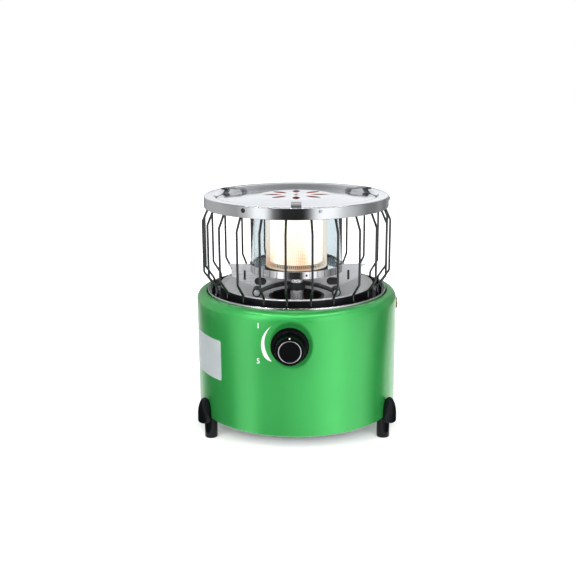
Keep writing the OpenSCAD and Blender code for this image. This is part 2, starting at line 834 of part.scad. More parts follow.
knob_r = knob_d / 2;
dial_ring_out = 11.2;
dial_ring_in = 10.5;
knob_profile = concat(
    [[0, knob_back], [knob_r, knob_back], [knob_r, knob_back + 2]],
    arc([knob_r, knob_back + 6.2], knob_r - cap_r, -90, -180, 8),
    [[cap_r - 0.4, knob_face - 1.6]],
    arc([cap_r - 2, knob_face - 1.6], 1.6, 0, 90, 5),
    [[dial_ring_in, knob_face], [dial_ring_in - 0.6, knob_face - 0.6], [0, knob_face - 1]]);

module knob() {
    color(black) on_knob_axis() difference() {
        rotate_extrude() polygon(knob_profile);
        difference() {
            translate([0, 0, knob_back - 1]) cylinder(r = 16.9, h = 3);
            cylinder(r = 6, h = 200);
        }
        translate([0, 0, knob_back + 1.9]) difference() {
            cylinder(r = 12.4, h = 10);
            cylinder(r = 6, h = 20);
        }
        translate([0, 0, knob_back - 1]) difference() {
            cylinder(r = spindle_r, h = 14);
            translate([-5, spindle_r - 0.8, 2]) cube([10, 5, 20]);
        }
        translate([0, 0, knob_face - 0.5]) ring(dial_ring_out, dial_ring_in, 2);
        translate([-0.7, cap_r - 1.9, knob_face - 0.4]) cube([1.4, 1.4, 2]);
    }
}

module knob_ring() {
    color(steel) on_knob_axis() translate([0, 0, knob_face - 0.5]) ring(dial_ring_out, dial_ring_in, 0.7);
}

module knob_pointer() {
    color("white") on_knob_axis() translate([-0.7, cap_r - 1.9, knob_face - 0.4]) cube([1.4, 1.4, 0.5]);
}

// ---- Ignition and flame sensing ----

electrode_r = 1;
electrode_at = [-5.8, 9.4];
couple_r = 1.6;
couple_at = [7, 14];
probes = [[electrode_at.x, electrode_at.y, electrode_r], [couple_at.x, couple_at.y, couple_r]];
cup_floor = bowl_floor - cup_depth;
lead_x = knob_x + 20;
igniter_length = 40;

module piezo_igniter() {
    color("white") on_knob_axis() translate([13, -6.5, cover_back - igniter_length]) cube([14, 13, igniter_length]);
}

module ignition_lead() {
    y = igniter_length - cover_back;
    color("orangered") bent_bar([
        [lead_x, y, knob_z], [lead_x, y + 20, knob_z], [-13, -6, 104],
        [electrode_at.x, electrode_at.y, 110],
        [electrode_at.x, electrode_at.y, cup_floor - 4]], 1.2, 4);
}

module ignition_electrode() {
    color("white") translate([electrode_at.x, electrode_at.y, cup_floor - 4])
        cylinder(r = electrode_r, h = tray_floor + 12 - cup_floor);
}

module thermocouple() {
    color("peru") translate([couple_at.x, couple_at.y, cup_floor - 4])
        cylinder(r = couple_r, h = tray_floor + 10 - cup_floor);
}

module thermocouple_lead() {
    color("peru") bent_bar([
        [couple_at.x, couple_at.y, cup_floor - 4], [couple_at.x, couple_at.y, 104], [22, -4, 104],
        [knob_x, -22, knob_z], [knob_x, 5 - tap_rear, knob_z]], 1.1, 4);
}

// The bare plate on the drum's left side
module rating_plate() {
    color(steel) translate([0, 0, 70.5]) rotate([0, 0, -77 - 90]) rotate_extrude(angle = 31)
        translate([drum_r, 0]) square([0.3, 42.5]);
}

drum_wall_front();
drum_wall_left();
drum_wall_right();
drum_shoulder();
drum_base_ring();
knob_seat();
base_plate();
foot_front_left();
foot_front_right();
foot_rear();
foot_screws();
support_post_front();
support_post_rear();
support_post_left();
post_screws();
bowl_screws();
guard_base_ring();
guard_wires();
guard_top_ring();
top_plate();
pot_support_front();
pot_support_left();
pot_support_right();
skirt_screws();
skirt_rivets();
vent_rivet();
chimney_collar();
reflector_bowl();
back_reflector();
burner_bridge();
bridge_screws();
burner_cup();
mixing_tube();
burner_tray();
burner_head();
radiant_mesh();
glass_chimney();
injector();
injector_holder();
gas_pipe_inlet();
gas_pipe_burner();
inlet_union();
inlet_locknut();
tap_body();
tap_cover();
tap_screws();
tap_plug();
spindle();
spindle_spring();
safety_magnet();
magnet_poppet();
knob();
knob_ring();
knob_pointer();
piezo_igniter();
ignition_lead();
ignition_electrode();
thermocouple();
thermocouple_lead();
rating_plate();
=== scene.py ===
"""Shells and finishes of a portable propane heater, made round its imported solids.

The solids are the frame. Every piece here is made in that frame, stands where the
solid that it replaces stands, and rides on that solid's body. Sizes in the classes
are in millimetres, because that is how the parts are drawn; Blender gets metres.
"""

import logging
import math
from collections.abc import Callable, Iterator, Sequence
from contextlib import contextmanager
from dataclasses import dataclass, field
from enum import Enum

import bpy
from mathutils import Matrix, Vector


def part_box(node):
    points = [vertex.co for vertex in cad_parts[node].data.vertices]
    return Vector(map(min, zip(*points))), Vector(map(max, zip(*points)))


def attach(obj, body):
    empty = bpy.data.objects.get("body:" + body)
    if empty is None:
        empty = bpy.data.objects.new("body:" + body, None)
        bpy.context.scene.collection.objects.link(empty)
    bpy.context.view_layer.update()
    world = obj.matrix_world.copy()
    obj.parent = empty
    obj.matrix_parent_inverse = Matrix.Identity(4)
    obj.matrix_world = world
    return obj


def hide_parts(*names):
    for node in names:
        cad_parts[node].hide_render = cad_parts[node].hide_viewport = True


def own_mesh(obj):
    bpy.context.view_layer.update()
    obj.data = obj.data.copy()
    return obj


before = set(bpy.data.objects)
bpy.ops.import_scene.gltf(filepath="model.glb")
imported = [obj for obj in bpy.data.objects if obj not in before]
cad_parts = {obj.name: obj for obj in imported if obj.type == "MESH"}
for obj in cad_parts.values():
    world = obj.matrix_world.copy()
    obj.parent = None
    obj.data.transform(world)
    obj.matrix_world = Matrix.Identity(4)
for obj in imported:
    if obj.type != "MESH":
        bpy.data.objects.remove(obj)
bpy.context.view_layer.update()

MM = 0.001
ROUND = 192
NOISE_LOW, NOISE_HIGH = 0.3, 0.7
log = logging.getLogger("heater")

Outline = list[tuple[float, float]]
Colour = tuple[float, float, float]


class Body(Enum):
    """The rigid bodies that new pieces ride on."""

    HEATER = "heater"
    KNOB = "control_knob"


class Slot(Enum):
    """The record's material slots, by name."""

    PAINT = "green_paint"
    PLASTIC = "black_plastic"
    STEEL = "polished_steel"
    WIRE = "chromed_wire"
    BOWL = "bowl_steel"
    ENAMEL = "black_enamel"
    ZINC = "zinc_plate"
    BRASS = "brass"
    GLASS = "clear_glass"
    MESH = "glowing_mesh"
    CERAMIC = "white_ceramic"
    WHITE = "white_plastic"
    ALUMINIUM = "bare_aluminium"


# ---------------------------------------------------------------- modelling


def deselect() -> None:
    """Leaves nothing selected."""
    bpy.ops.object.select_all(action="DESELECT")


def select_only(piece: bpy.types.Object) -> None:
    """Makes one object the selected and active one.

    Args:
        piece: The object to work on.
    """
    deselect()
    piece.select_set(True)
    bpy.context.view_layer.objects.active = piece


@contextmanager
def editing(piece: bpy.types.Object) -> Iterator[None]:
    """Holds an object in edit mode with nothing selected.

    Args:
        piece: The mesh object to edit.
    """
    select_only(piece)
    bpy.ops.object.mode_set(mode="EDIT")
    bpy.ops.mesh.select_all(action="DESELECT")
    yield
    bpy.ops.object.mode_set(mode="OBJECT")


def settled(piece: bpy.types.Object) -> bpy.types.Object:
    """Puts an object's place, turn and size into its mesh.

    Args:
        piece: The object.

    Returns:
        The same object, now at the origin.
    """
    select_only(piece)
    bpy.ops.object.transform_apply(location=True, rotation=True, scale=True)
    return piece


def pick_faces(piece: bpy.types.Object, wanted: Callable[[Vector, Vector], bool]) -> None:
    """Selects faces by place or direction, in object mode, for the next edit.

    Args:
        piece: The mesh object.
        wanted: Says of a face's centre and normal whether it is picked.
    """
    for face in piece.data.polygons:
        face.select = wanted(face.center, face.normal)
    for edge in piece.data.edges:
        edge.select = False
    for vertex in piece.data.vertices:
        vertex.select = False


def reshape(piece: bpy.types.Object, move: Callable[[Vector], Vector]) -> None:
    """Moves every vertex by a rule.

    Args:
        piece: The mesh object.
        move: Gives a vertex's new place from its old one.
    """
    for vertex in piece.data.vertices:
        vertex.co = move(vertex.co)
    piece.data.update()


def finish_modifier(piece: bpy.types.Object, kind: str, **settings: object) -> None:
    """Adds a modifier and applies it.

    Args:
        piece: The object.
        kind: The modifier's type.
        **settings: Its settings by name.
    """
    select_only(piece)
    modifier = piece.modifiers.new(kind.title(), kind)
    for name, value in settings.items():
        setattr(modifier, name, value)
    bpy.ops.object.modifier_apply(modifier=modifier.name)


def combine(piece: bpy.types.Object, other: bpy.types.Object, operation: str) -> bpy.types.Object:
    """Joins, cuts or trims a piece with another solid, which is used up.

    Args:
        piece: The solid to change.
        other: The tool.
        operation: UNION, DIFFERENCE or INTERSECT.

    Returns:
        The changed piece.
    """
    finish_modifier(piece, "BOOLEAN", object=other, operation=operation, solver="EXACT")
    bpy.data.objects.remove(other)
    return piece


def joined(pieces: Sequence[bpy.types.Object]) -> bpy.types.Object:
    """Makes one object of several that don't cut each other.

    Args:
        pieces: The objects; the first one keeps its name.

    Returns:
        The joined object.
    """
    select_only(pieces[0])
    for piece in pieces[1:]:
        piece.select_set(True)
    bpy.ops.object.join()
    return pieces[0]


def copied(piece: bpy.types.Object, turn: float = 0.0) -> bpy.types.Object:
    """Copies an object with a mesh of its own, turned round the Z axis.

    Args:
        piece: The object to copy.
        turn: Degrees anticlockwise, seen from above.

    Returns:
        The copy, at the origin.
    """
    twin = piece.copy()
    twin.data = piece.data.copy()
    bpy.context.collection.objects.link(twin)
    twin.data.transform(Matrix.Rotation(math.radians(turn), 4, "Z"))
    return twin


def round_copies(piece: bpy.types.Object, turns: Sequence[float]) -> bpy.types.Object:
    """Makes one object of copies of a piece that stand round the Z axis.

    Args:
        piece: The piece, which is used up.
        turns: How far each copy is turned, in degrees.

    Returns:
        The joined object.
    """
    group = joined([copied(piece, turn) for turn in turns])
    bpy.data.objects.remove(piece)
    return group


def arc(centre: tuple[float, float], radius: float, start: float, end: float, steps: int) -> Outline:
    """Points along an arc.

    Args:
        centre: The arc's centre.
        radius: Its radius.
        start: First angle in degrees.
        end: Last angle in degrees.
        steps: Number of stretches.

    Returns:
        The points, both ends included.
    """
    angles = (math.radians(start + (end - start) * i / steps) for i in range(steps + 1))
    return [(centre[0] + radius * math.cos(a), centre[1] + radius * math.sin(a)) for a in angles]


def close_ends(outline: Outline, sheet: bool) -> None:
    """Closes what a turned shell leaves open, and points its faces outwards.

    The shell is in edit mode, with its last ring selected.

    Args:
        outline: The shell's outline.
        sheet: True if the shell stays an open surface.
    """
    if outline[-1][0] == 0:
        lift = (outline[-1][1] - outline[-2][1]) * MM
        bpy.ops.mesh.extrude_edges_move(TRANSFORM_OT_translate={"value": (0, 0, lift)})
        bpy.ops.mesh.merge(type="CENTER")
    bpy.ops.mesh.select_all(action="DESELECT")
    if outline[0][0] == 0:
        bpy.ops.mesh.select_non_manifold()
        lift = (outline[0][1] - outline[1][1]) * MM
        bpy.ops.mesh.extrude_edges_move(TRANSFORM_OT_translate={"value": (0, 0, lift)})
        bpy.ops.mesh.merge(type="CENTER")
    elif not sheet and outline[-1][0] > 0:
        bpy.ops.mesh.select_non_manifold()
        bpy.ops.mesh.bridge_edge_loops()
    bpy.ops.mesh.select_all(action="SELECT")
    bpy.ops.mesh.normals_make_consistent(inside=False)


def turned(name: str, outline: Outline, sheet: bool = False, sides: int = ROUND) -> bpy.types.Object:
    """Turns an outline round the Z axis, one extruded and resized ring after another.

    Args:
        name: The new object's name.
        outline: Radius and height of each ring; a radius of 0 at an end makes a pole.
        sheet: True for an open surface, which gets its thickness later.
        sides: Number of sides of each ring.

    Returns:
        The new object.
    """
    rings = [point for point in outline if point[0] > 0]
    radius, height = rings[0]
    deselect()
    bpy.ops.mesh.primitive_circle_add(vertices=sides, radius=radius * MM, location=(0, 0, height * MM))
    piece = settled(bpy.context.object)
    piece.name = name
    with editing(piece):
        bpy.ops.mesh.select_mode(type="EDGE")
        bpy.ops.mesh.select_all(action="SELECT")
        for next_radius, next_height in rings[1:]:
            lift = (next_height - height) * MM
            bpy.ops.mesh.extrude_edges_move(TRANSFORM_OT_translate={"value": (0, 0, lift)})
            grow = next_radius / radius
            bpy.ops.transform.resize(value=(grow, grow, 1), center_override=(0, 0, 0))
            radius, height = next_radius, next_height
        close_ends(outline, sheet)
    return piece


def block(name: str, low: Sequence[float], high: Sequence[float]) -> bpy.types.Object:
    """A box from a primitive cube, for cutting or for further shaping.

    Args:
        name: The new object's name.
        low: Lowest corner.
        high: Highest corner.

    Returns:
        The new object.
    """
    deselect()
    middle = [(a + b) / 2 * MM for a, b in zip(low, high)]
    bpy.ops.mesh.primitive_cube_add(size=1, location=middle)
    bpy.context.object.scale = [(b - a) * MM for a, b in zip(low, high)]
    piece = settled(bpy.context.object)
    piece.name = name
    return piece


def aimed(piece: bpy.types.Object, way: Vector, place: Vector) -> bpy.types.Object:
    """Points a piece's +Z along a direction and moves it to its place.

    Args:
        piece: The object.
        way: The direction.
        place: The place, in metres.

    Returns:
        The same object, settled.
    """
    piece.rotation_mode = "QUATERNION"
    piece.rotation_quaternion = way.to_track_quat("Z", "Y")
    piece.location = place
    return settled(piece)


def faced(piece: bpy.types.Object, place: Vector) -> bpy.types.Object:
    """Turns a piece's +Z to the front and moves it to its place.

    Args:
        piece: The object.
        place: The place, in millimetres.

    Returns:
        The same object, settled.
    """
    piece.rotation_euler = (math.radians(90), 0, 0)
    piece.location = place * MM
    return settled(piece)


def faced_pair(piece: bpy.types.Object, place: Vector) -> list[bpy.types.Object]:
    """Faces a piece to the front on the left, and a copy of it on the right.

    Args:
        piece: The object.
        place: The copy's place on the right, in millimetres.

    Returns:
        The piece and its copy.
    """
    left = Vector((-place.x, place.y, place.z))
    return [faced(one, spot) for one, spot in ((piece, left), (copied(piece), place))]


def rod(name: str, start: Vector, end: Vector, radius: float, sides: int = 48) -> bpy.types.Object:
    """A round bar between two points, for cutting or for further shaping.

    Args:
        name: The new object's name.
        start: One end.
        end: The other end.
        radius: Its radius.
        sides: Number of sides.

    Returns:
        The new object.
    """
    deselect()
    length = end - start
    bpy.ops.mesh.primitive_cylinder_add(vertices=sides, radius=radius * MM, depth=length.length * MM)
    piece = bpy.context.object
    piece.name = name
    return aimed(piece, length, (start + end) / 2 * MM)


def polar(azimuth: float, radius: float, height: float) -> Vector:
    """A point by azimuth from the front towards the right, radius and height.

    Args:
        azimuth: Degrees.
        radius: Distance from the Z axis.
        height: Height above the ground.

    Returns:
        The point in millimetres.
    """
    a = math.radians(azimuth)
    return Vector((radius * math.sin(a), -radius * math.cos(a), height))


def drill_round(piece: bpy.types.Object, count: int, first: float, start: tuple[float, float],
                end: tuple[float, float], radius: float, sides: int) -> None:
    """Drills a row of holes round the Z axis.

    Args:
        piece: The piece to drill.
        count: Number of holes.
        first: The first hole's azimuth in degrees.
        start: Radius and height where each hole starts.
        end: Radius and height where it ends.
        radius: The holes' own radius.
        sides: Number of sides of each hole.
    """
    drill = rod("drill", polar(first, *start), polar(first, *end), radius, sides)
    combine(piece, round_copies(drill, [360 / count * i for i in range(count)]), "DIFFERENCE")


# ---------------------------------------------------------------- finishes


class Nodes:
    """Shader nodes while they are put together."""

    def __init__(self, tree: bpy.types.ShaderNodeTree) -> None:
        """Starts on a node tree.

        Args:
            tree: The tree that the nodes go into.
        """
        self.tree = tree

    def node(self, kind: str, **settings: object) -> bpy.types.Node:
        """Adds a node.

        Args:
            kind: The node's type.
            **settings: Its settings by name.

        Returns:
            The node.
        """
        made = self.tree.nodes.new(kind)
        for name, value in settings.items():
            setattr(made, name, value)
        return made

    def feed(self, target: bpy.types.NodeSocket, source: object) -> None:
        """Sets or links an input.

        Args:
            target: The input.
            source: A value or an output.
        """
        if isinstance(source, bpy.types.NodeSocket):
            self.tree.links.new(source, target)
        else:
            target.default_value = source

    def maths(self, operation: str, a: object, b: object = 0.0) -> bpy.types.NodeSocket:
        """Does one sum.

        Args:
            operation: The Math node's operation.
            a: First value or output.
            b: Second value or output.

        Returns:
            The result.
        """
        made = self.node("ShaderNodeMath", operation=operation)
        self.feed(made.inputs[0], a)
        self.feed(made.inputs[1], b)
        return made.outputs[0]

    def distance(self, a: object, b: object) -> bpy.types.NodeSocket:
        """The length of a slanted line from its two sides.

        Args:
            a: One side.
            b: The other side.

        Returns:
            The length.
        """
        squares = [self.maths("MULTIPLY", side, side) for side in (a, b)]
        return self.maths("SQRT", self.maths("ADD", *squares))

    def spread(self, source: object, low: float, high: float, start: float = NOISE_LOW,
               end: float = NOISE_HIGH) -> bpy.types.NodeSocket:
        """Maps a value to a range.

        Args:
            source: The value.
            low: Result at the start.
            high: Result at the end.
            start: Value that gives low.
            end: Value that gives high.

        Returns:
            The mapped value.
        """
        made = self.node("ShaderNodeMapRange")
        for name, value in (("From Min", start), ("From Max", end), ("To Min", low), ("To Max", high)):
            made.inputs[name].default_value = value
        self.feed(made.inputs["Value"], source)
        return made.outputs["Result"]

    def seen(self) -> bpy.types.NodeSocket:
        """Whether the camera, a reflection or clear glass looks on.

        Returns:
            1 if so, and 0 for the light that falls on things.
        """
        paths = self.node("ShaderNodeLightPath").outputs
        mirrored = self.maths("MAXIMUM", paths["Is Glossy Ray"], paths["Is Transmission Ray"])
        return self.maths("MAXIMUM", paths["Is Camera Ray"], mirrored)


class Recipe(Nodes):
    """One material's nodes."""

    def __init__(self, name: str) -> None:
        """Starts a material.

        Args:
            name: The material's name.
        """
        self.material = bpy.data.materials.new(name)
        self.material.use_nodes = True
        super().__init__(self.material.node_tree)
        self.shader = self.tree.nodes["Principled BSDF"]
        self.place = self.node("ShaderNodeTexCoord").outputs["Object"]

    def set(self, **inputs: object) -> None:
        """Sets the shader's own inputs; underscores stand for spaces.

        Args:
            **inputs: Values or outputs by input name.
        """
        for name, value in inputs.items():
            self.feed(self.shader.inputs[name.replace("_", " ").title().replace("Ior", "IOR")], value)

    def axes(self) -> tuple[bpy.types.NodeSocket, ...]:
        """Parts the place along its axes.

        Returns:
            Its X, Y and Z.
        """
        split = self.node("ShaderNodeSeparateXYZ")
        self.feed(split.inputs[0], self.place)
        return tuple(split.outputs)

    def stretched(self, scale: Sequence[float], vector: object = None) -> bpy.types.NodeSocket:
        """Scales the place that a texture reads, axis by axis.

        Args:
            scale: One factor for each axis.
            vector: The place, or None for the object's own.

        Returns:
            The scaled place.
        """
        made = self.node("ShaderNodeMapping")
        made.inputs["Scale"].default_value = scale
        self.feed(made.inputs["Vector"], vector or self.place)
        return made.outputs[0]

    def noise(self, scale: float, detail: float = 3.0, vector: object = None) -> bpy.types.NodeSocket:
        """Cloudy noise.

        Args:
            scale: Features per metre.
            detail: How fine it goes.
            vector: Where it is read, or None for the object's own place.

        Returns:
            Its value, about 0.3 to 0.7.
        """
        made = self.node("ShaderNodeTexNoise")
        made.inputs["Scale"].default_value = scale
        made.inputs["Detail"].default_value = detail
        self.feed(made.inputs["Vector"], vector or self.place)
        return made.outputs["Fac"]

    def ramp(self, source: object, stops: Sequence[tuple[float, Colour]]) -> bpy.types.NodeSocket:
        """Turns a value into colours.

        Args:
            source: A value from 0 to 1.
            stops: Places and colours, in order.

        Returns:
            The colour.
        """
        made = self.node("ShaderNodeValToRGB")
        elements = made.color_ramp.elements
        while len(elements) < len(stops):
            elements.new(0.5)
        for element, (place, colour) in zip(elements, stops):
            element.position = place
            element.color = (*colour, 1)
        self.feed(made.inputs["Fac"], source)
        return made.outputs["Color"]

    def clouded(self, noise: object, colour: Colour, dark: float, light: float) -> bpy.types.NodeSocket:
        """A colour that noise darkens and lightens.

        Args:
            noise: The noise.
            colour: The colour.
            dark: The darkest shade's share of it.
            light: The lightest shade's share of it.

        Returns:
            The colour.
        """
        return self.ramp(noise, [(NOISE_LOW, shade_of(colour, dark)), (NOISE_HIGH, shade_of(colour, light))])

    def bump(self, height: object, depth: float) -> bpy.types.NodeSocket:
        """Turns a height into a bent normal.

        Args:
            height: The height value.
            depth: Its real depth in metres.

        Returns:
            The normal.
        """
        made = self.node("ShaderNodeBump")
        made.inputs["Strength"].default_value = 1.0
        made.inputs["Distance"].default_value = depth
        self.feed(made.inputs["Height"], height)
        return made.outputs["Normal"]

    def round_place(self) -> bpy.types.NodeSocket:
        """The place as radius, height and a little of the angle.

        A texture that reads it runs round the Z axis.

        Returns:
            That place.
        """
        x, y, z = self.axes()
        little = self.maths("MULTIPLY", self.maths("ARCTAN2", y, x), 0.002)
        made = self.node("ShaderNodeCombineXYZ")
        for target, source in zip(made.inputs, (self.distance(x, y), z, little)):
            self.feed(target, source)
        return made.outputs[0]


def shade_of(colour: Colour, factor: float) -> Colour:
    """A darker or lighter shade.

    Args:
        colour: The colour.
        factor: How much light it keeps.

    Returns:
        The shade.
    """
    return tuple(min(1.0, c * factor) for c in colour)


@dataclass(frozen=True)
class Finish:
    """A finish with a name and a main colour."""

    name: str
    colour: Colour

    def material(self) -> bpy.types.Material:
        """The finish's one material, made when it is first asked for."""
        return bpy.data.materials.get(self.name) or self.build()

    def build(self) -> bpy.types.Material:
        """Makes the material."""
        raise NotImplementedError


@dataclass(frozen=True)
class Enamel(Finish):
    """Metallic stoved paint with a trace of orange peel."""

    roughness: float = 0.34
    flake: float = 0.55
    shine: float = 0.3
    coat: float = 0.8
    coat_roughness: float = 0.05
    peel: float = 0.000004

    def build(self) -> bpy.types.Material:
        """Makes the material.

        Returns:
            The material.
        """
        recipe = Recipe(self.name)
        recipe.set(
            base_color=recipe.clouded(recipe.noise(11, 2), self.colour, 0.93, 1.06),
            roughness=recipe.spread(recipe.noise(90), self.roughness - 0.03, self.roughness + 0.04),
            metallic=self.flake,
            specular_ior_level=self.shine,
            coat_weight=self.coat,
            coat_roughness=self.coat_roughness,
            normal=recipe.bump(recipe.noise(260, 1), self.peel),
        )
        return recipe.material


@dataclass(frozen=True)
class SheetSteel(Finish):
    """Polished stainless sheet, with the fine marks of spinning or of a brush."""

    roughness: float = 0.14
    marks: float = 0.000004
    grain: Sequence[float] = ()
    metal: float = 1.0

    def build(self) -> bpy.types.Material:
        """Makes the material.

        Returns:
            The material.
        """
        recipe = Recipe(self.name)
        place = recipe.stretched(self.grain) if self.grain else recipe.round_place()
        grooves = recipe.noise(2600, 2, place)
        smears = recipe.noise(26, 4)
        both = recipe.maths("ADD", *(recipe.maths("MULTIPLY", noise, 0.5) for noise in (grooves, smears)))
        recipe.set(
            base_color=recipe.clouded(smears, self.colour, 0.94, 1.04),
            metallic=self.metal,
            roughness=recipe.spread(both, self.roughness - 0.04, self.roughness + 0.06),
            normal=recipe.bump(grooves, self.marks),
        )
        return recipe.material


@dataclass(frozen=True)
class Plating(Finish):
    """Plated or turned metal: slightly clouded, with soft specks."""

    roughness: float = 0.3
    cloud: float = 0.12
    grain: float = 0.00001

    def build(self) -> bpy.types.Material:
        """Makes the material.

        Returns:
            The material.
        """
        recipe = Recipe(self.name)
        dull, bright = shade_of(self.colour, 1 - self.cloud), shade_of(self.colour, 1 + self.cloud / 2)
        recipe.set(
            base_color=recipe.ramp(recipe.noise(70, 4), [(NOISE_LOW, dull), (0.5, self.colour),
                                                         (NOISE_HIGH, bright)]),
            metallic=1.0,
            roughness=recipe.spread(recipe.noise(160), self.roughness - 0.05, self.roughness + 0.08),
            normal=recipe.bump(recipe.noise(1500, 2), self.grain),
        )
        return recipe.material


@dataclass(frozen=True)
class Moulded(Finish):
    """Moulded plastic, rubber or ceramic, with the tool's fine texture."""

    roughness: float = 0.35
    grain: float = 0.00003
    scale: float = 1400.0
    shine: float = 0.5

    def build(self) -> bpy.types.Material:
        """Makes the material.

        Returns:
            The material.
        """
        recipe = Recipe(self.name)
        recipe.set(
            base_color=recipe.clouded(recipe.noise(40, 3), self.colour, 0.85, 1.15),
            roughness=recipe.spread(recipe.noise(self.scale / 4), self.roughness - 0.04,
                                    self.roughness + 0.07),
            specular_ior_level=self.shine,
            normal=recipe.bump(recipe.noise(self.scale, 3), self.grain),
        )
        return recipe.material


@dataclass(frozen=True)
class HeatBlack(Finish):
    """Heatproof black on steel, greyed where it runs hot."""

    roughness: float = 0.42
    ash: Colour = (0.07, 0.062, 0.055)

    def build(self) -> bpy.types.Material:
        """Makes the material.

        Returns:
            The material.
        """
        recipe = Recipe(self.name)
        burnt = recipe.noise(60, 5)
        recipe.set(
            base_color=recipe.ramp(burnt, [(0.35, self.colour), (0.6, shade_of(self.colour, 1.5)),
                                           (0.75, self.ash)]),
            roughness=recipe.spread(burnt, self.roughness - 0.1, self.roughness + 0.15),
            metallic=0.3,
            normal=recipe.bump(recipe.noise(900, 4), 0.00004),
        )
        return recipe.material


@dataclass(frozen=True)
class ClearGlass(Finish):
    """Heatproof glass, a little smoked, with the faintest draw lines."""

    roughness: float = 0.015
    index: float = 1.22

    def build(self) -> bpy.types.Material:
        """Makes the material.

        Returns:
            The material.
        """
        recipe = Recipe(self.name)
        recipe.set(
            base_color=recipe.clouded(recipe.noise(25, 2), self.colour, 0.97, 1.0),
            roughness=self.roughness,
            ior=self.index,
            transmission_weight=1.0,
            normal=recipe.bump(recipe.noise(60, 1, recipe.stretched((1, 1, 0.05))), 0.00002),
        )
        return recipe.material


@dataclass(frozen=True)
class Glow(Finish):
    """Metal lit from within, yellow where it starts and white further up."""

    low: float = 0.17
    high: float = 0.24
    strength: float = 1.15
    heats: Sequence[tuple[float, Colour]] = (
        (0.0, (0.9, 0.55, 0.33)), (0.2, (1.0, 0.84, 0.66)), (0.5, (1.0, 0.94, 0.8)), (1.0, (1.0, 0.99, 0.97)))

    def build(self) -> bpy.types.Material:
        """Makes the material.

        Returns:
            The material.
        """
        recipe = Recipe(self.name)
        height = recipe.spread(recipe.axes()[2], 0.0, 1.0, self.low, self.high)
        flicker = recipe.spread(recipe.noise(32, 3, recipe.stretched((1, 1, 0.4))), -0.45, 0.35)
        recipe.set(
            base_color=shade_of(self.colour, 0.25) + (1.0,),
            roughness=0.6,
            emission_color=recipe.ramp(recipe.maths("ADD", height, flicker), self.heats),
            emission_strength=self.strength,
        )
        return recipe.material


GREEN = Enamel("drum_green", (0.044, 0.465, 0.094))
LID_STEEL = SheetSteel("lid_steel", (0.7, 0.72, 0.74), roughness=0.13)
STRIP_STEEL = SheetSteel("strip_steel", (0.2, 0.205, 0.21), roughness=0.24, grain=(1, 1, 1))
RING_STEEL = SheetSteel("ring_steel", (0.78, 0.78, 0.8), roughness=0.12)
BOWL_STEEL = SheetSteel("bowl_steel", (0.95, 0.96, 0.97), roughness=0.2, metal=0.3)
# Near-black copy of the bowl steel: painted shade for the bowl's outer wall and its part behind the upright
# plate.
BOWL_PAINTED_SHADE = SheetSteel("bowl_painted_shade", (0.03, 0.032, 0.035), roughness=0.4)
TUBE_STEEL = SheetSteel("tube_steel", (0.9, 0.9, 0.92), roughness=0.25, grain=(1, 1, 0.03), metal=0.7)
PLATE_STEEL = SheetSteel("plate_steel", (0.8, 0.82, 0.84), roughness=0.3, grain=(0.04, 1, 1), metal=0.3)
# The guard wires' chrome gets a near-black base colour: painted dark reflection of the surroundings that the
# wires mirror.
CHROME_WIRE_PAINTED_DARK = Plating("chrome_wire_painted_dark", (0.1, 0.105, 0.11), roughness=0.14, cloud=0.05, grain=0.000003)
ZINC = Plating("zinc", (0.55, 0.57, 0.6), roughness=0.34)
BRASS = Plating("brass_turned", (0.68, 0.5, 0.22), roughness=0.26)
INLET_BRASS = Plating("brass_inlet", (0.3, 0.2, 0.09), roughness=0.34)
COPPER = Plating("copper_drawn", (0.75, 0.36, 0.22), roughness=0.3)
FOOT_BLACK = Moulded("foot_black", (0.003, 0.0035, 0.005), roughness=0.2, grain=0.00001, shine=0.2)
KNOB_BLACK = Moulded("knob_black", (0.002, 0.0022, 0.0028), roughness=0.15, grain=0.000003, shine=0.07)
BURNER_BLACK = HeatBlack("burner_black", (0.012, 0.012, 0.013))
GLASS = ClearGlass("chimney_glass", (0.62, 0.67, 0.69))
MANTLE = Glow("mantle_glow", (0.9, 0.75, 0.6), strength=2.6)
GAUZE = Glow("gauze_glow", (0.5, 0.3, 0.28), low=0.17, high=0.26, strength=1.1)
MANTLE_TOP = Glow("mantle_top_glow", (0.9, 0.4, 0.3), low=0.2, high=0.4, strength=0.9)
CERAMIC = Moulded("ceramic_white", (0.82, 0.8, 0.74), roughness=0.25, grain=0.00001)
WHITE = Moulded("white_moulding", (0.75, 0.75, 0.72), roughness=0.4)
SLEEVE = Moulded("red_sleeve", (0.42, 0.03, 0.015), roughness=0.5)
PLATE_FOIL = SheetSteel("rating_foil", (0.72, 0.78, 0.8), roughness=0.45, grain=(1, 1, 1), metal=0.4)
# Dark red on the chimney collar is painted glow: the mantle's red light, seen through the vent star.
COLLAR_PAINTED_GLOW = HeatBlack("collar_painted_glow", (0.4, 0.05, 0.035))
PRINT = Moulded("white_print", (0.84, 0.87, 0.85), roughness=0.45, grain=0.000005)


def fit(piece: bpy.types.Object, finish: Finish, body: Body = Body.HEATER,
        stands_for: Sequence[str] = (), crease: float = 32.0) -> bpy.types.Object:
    """Finishes a modelled piece and ties it to the frame.

    Args:
        piece: The object, at the origin.
        finish: Its finish.
        body: The body that it rides on.
        stands_for: The solids that it replaces.
        crease: Edges sharper than this many degrees stay sharp.

    Returns:
        The same object.
    """
    select_only(piece)
    bpy.ops.object.shade_smooth_by_angle(angle=math.radians(crease))
    piece.data.materials.clear()
    piece.data.materials.append(finish.material())
    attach(piece, body.value)
    if stands_for:
        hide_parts(*stands_for)
    log.info("%s: %d faces on %s", piece.name, len(piece.data.polygons), body.value)
    return piece


def refinish(piece: bpy.types.Object, finish: Finish, wanted: Callable[[Vector], bool]) -> None:
    """Gives some of a finished piece's faces another finish.

    Args:
        piece: The object.
        finish: The other finish.
        wanted: Says for a face's centre, in millimetres, whether it changes.
    """
    piece.data.materials.append(finish.material())
    for face in piece.data.polygons:
        if wanted(face.center / MM):
            face.material_index = len(piece.data.materials) - 1


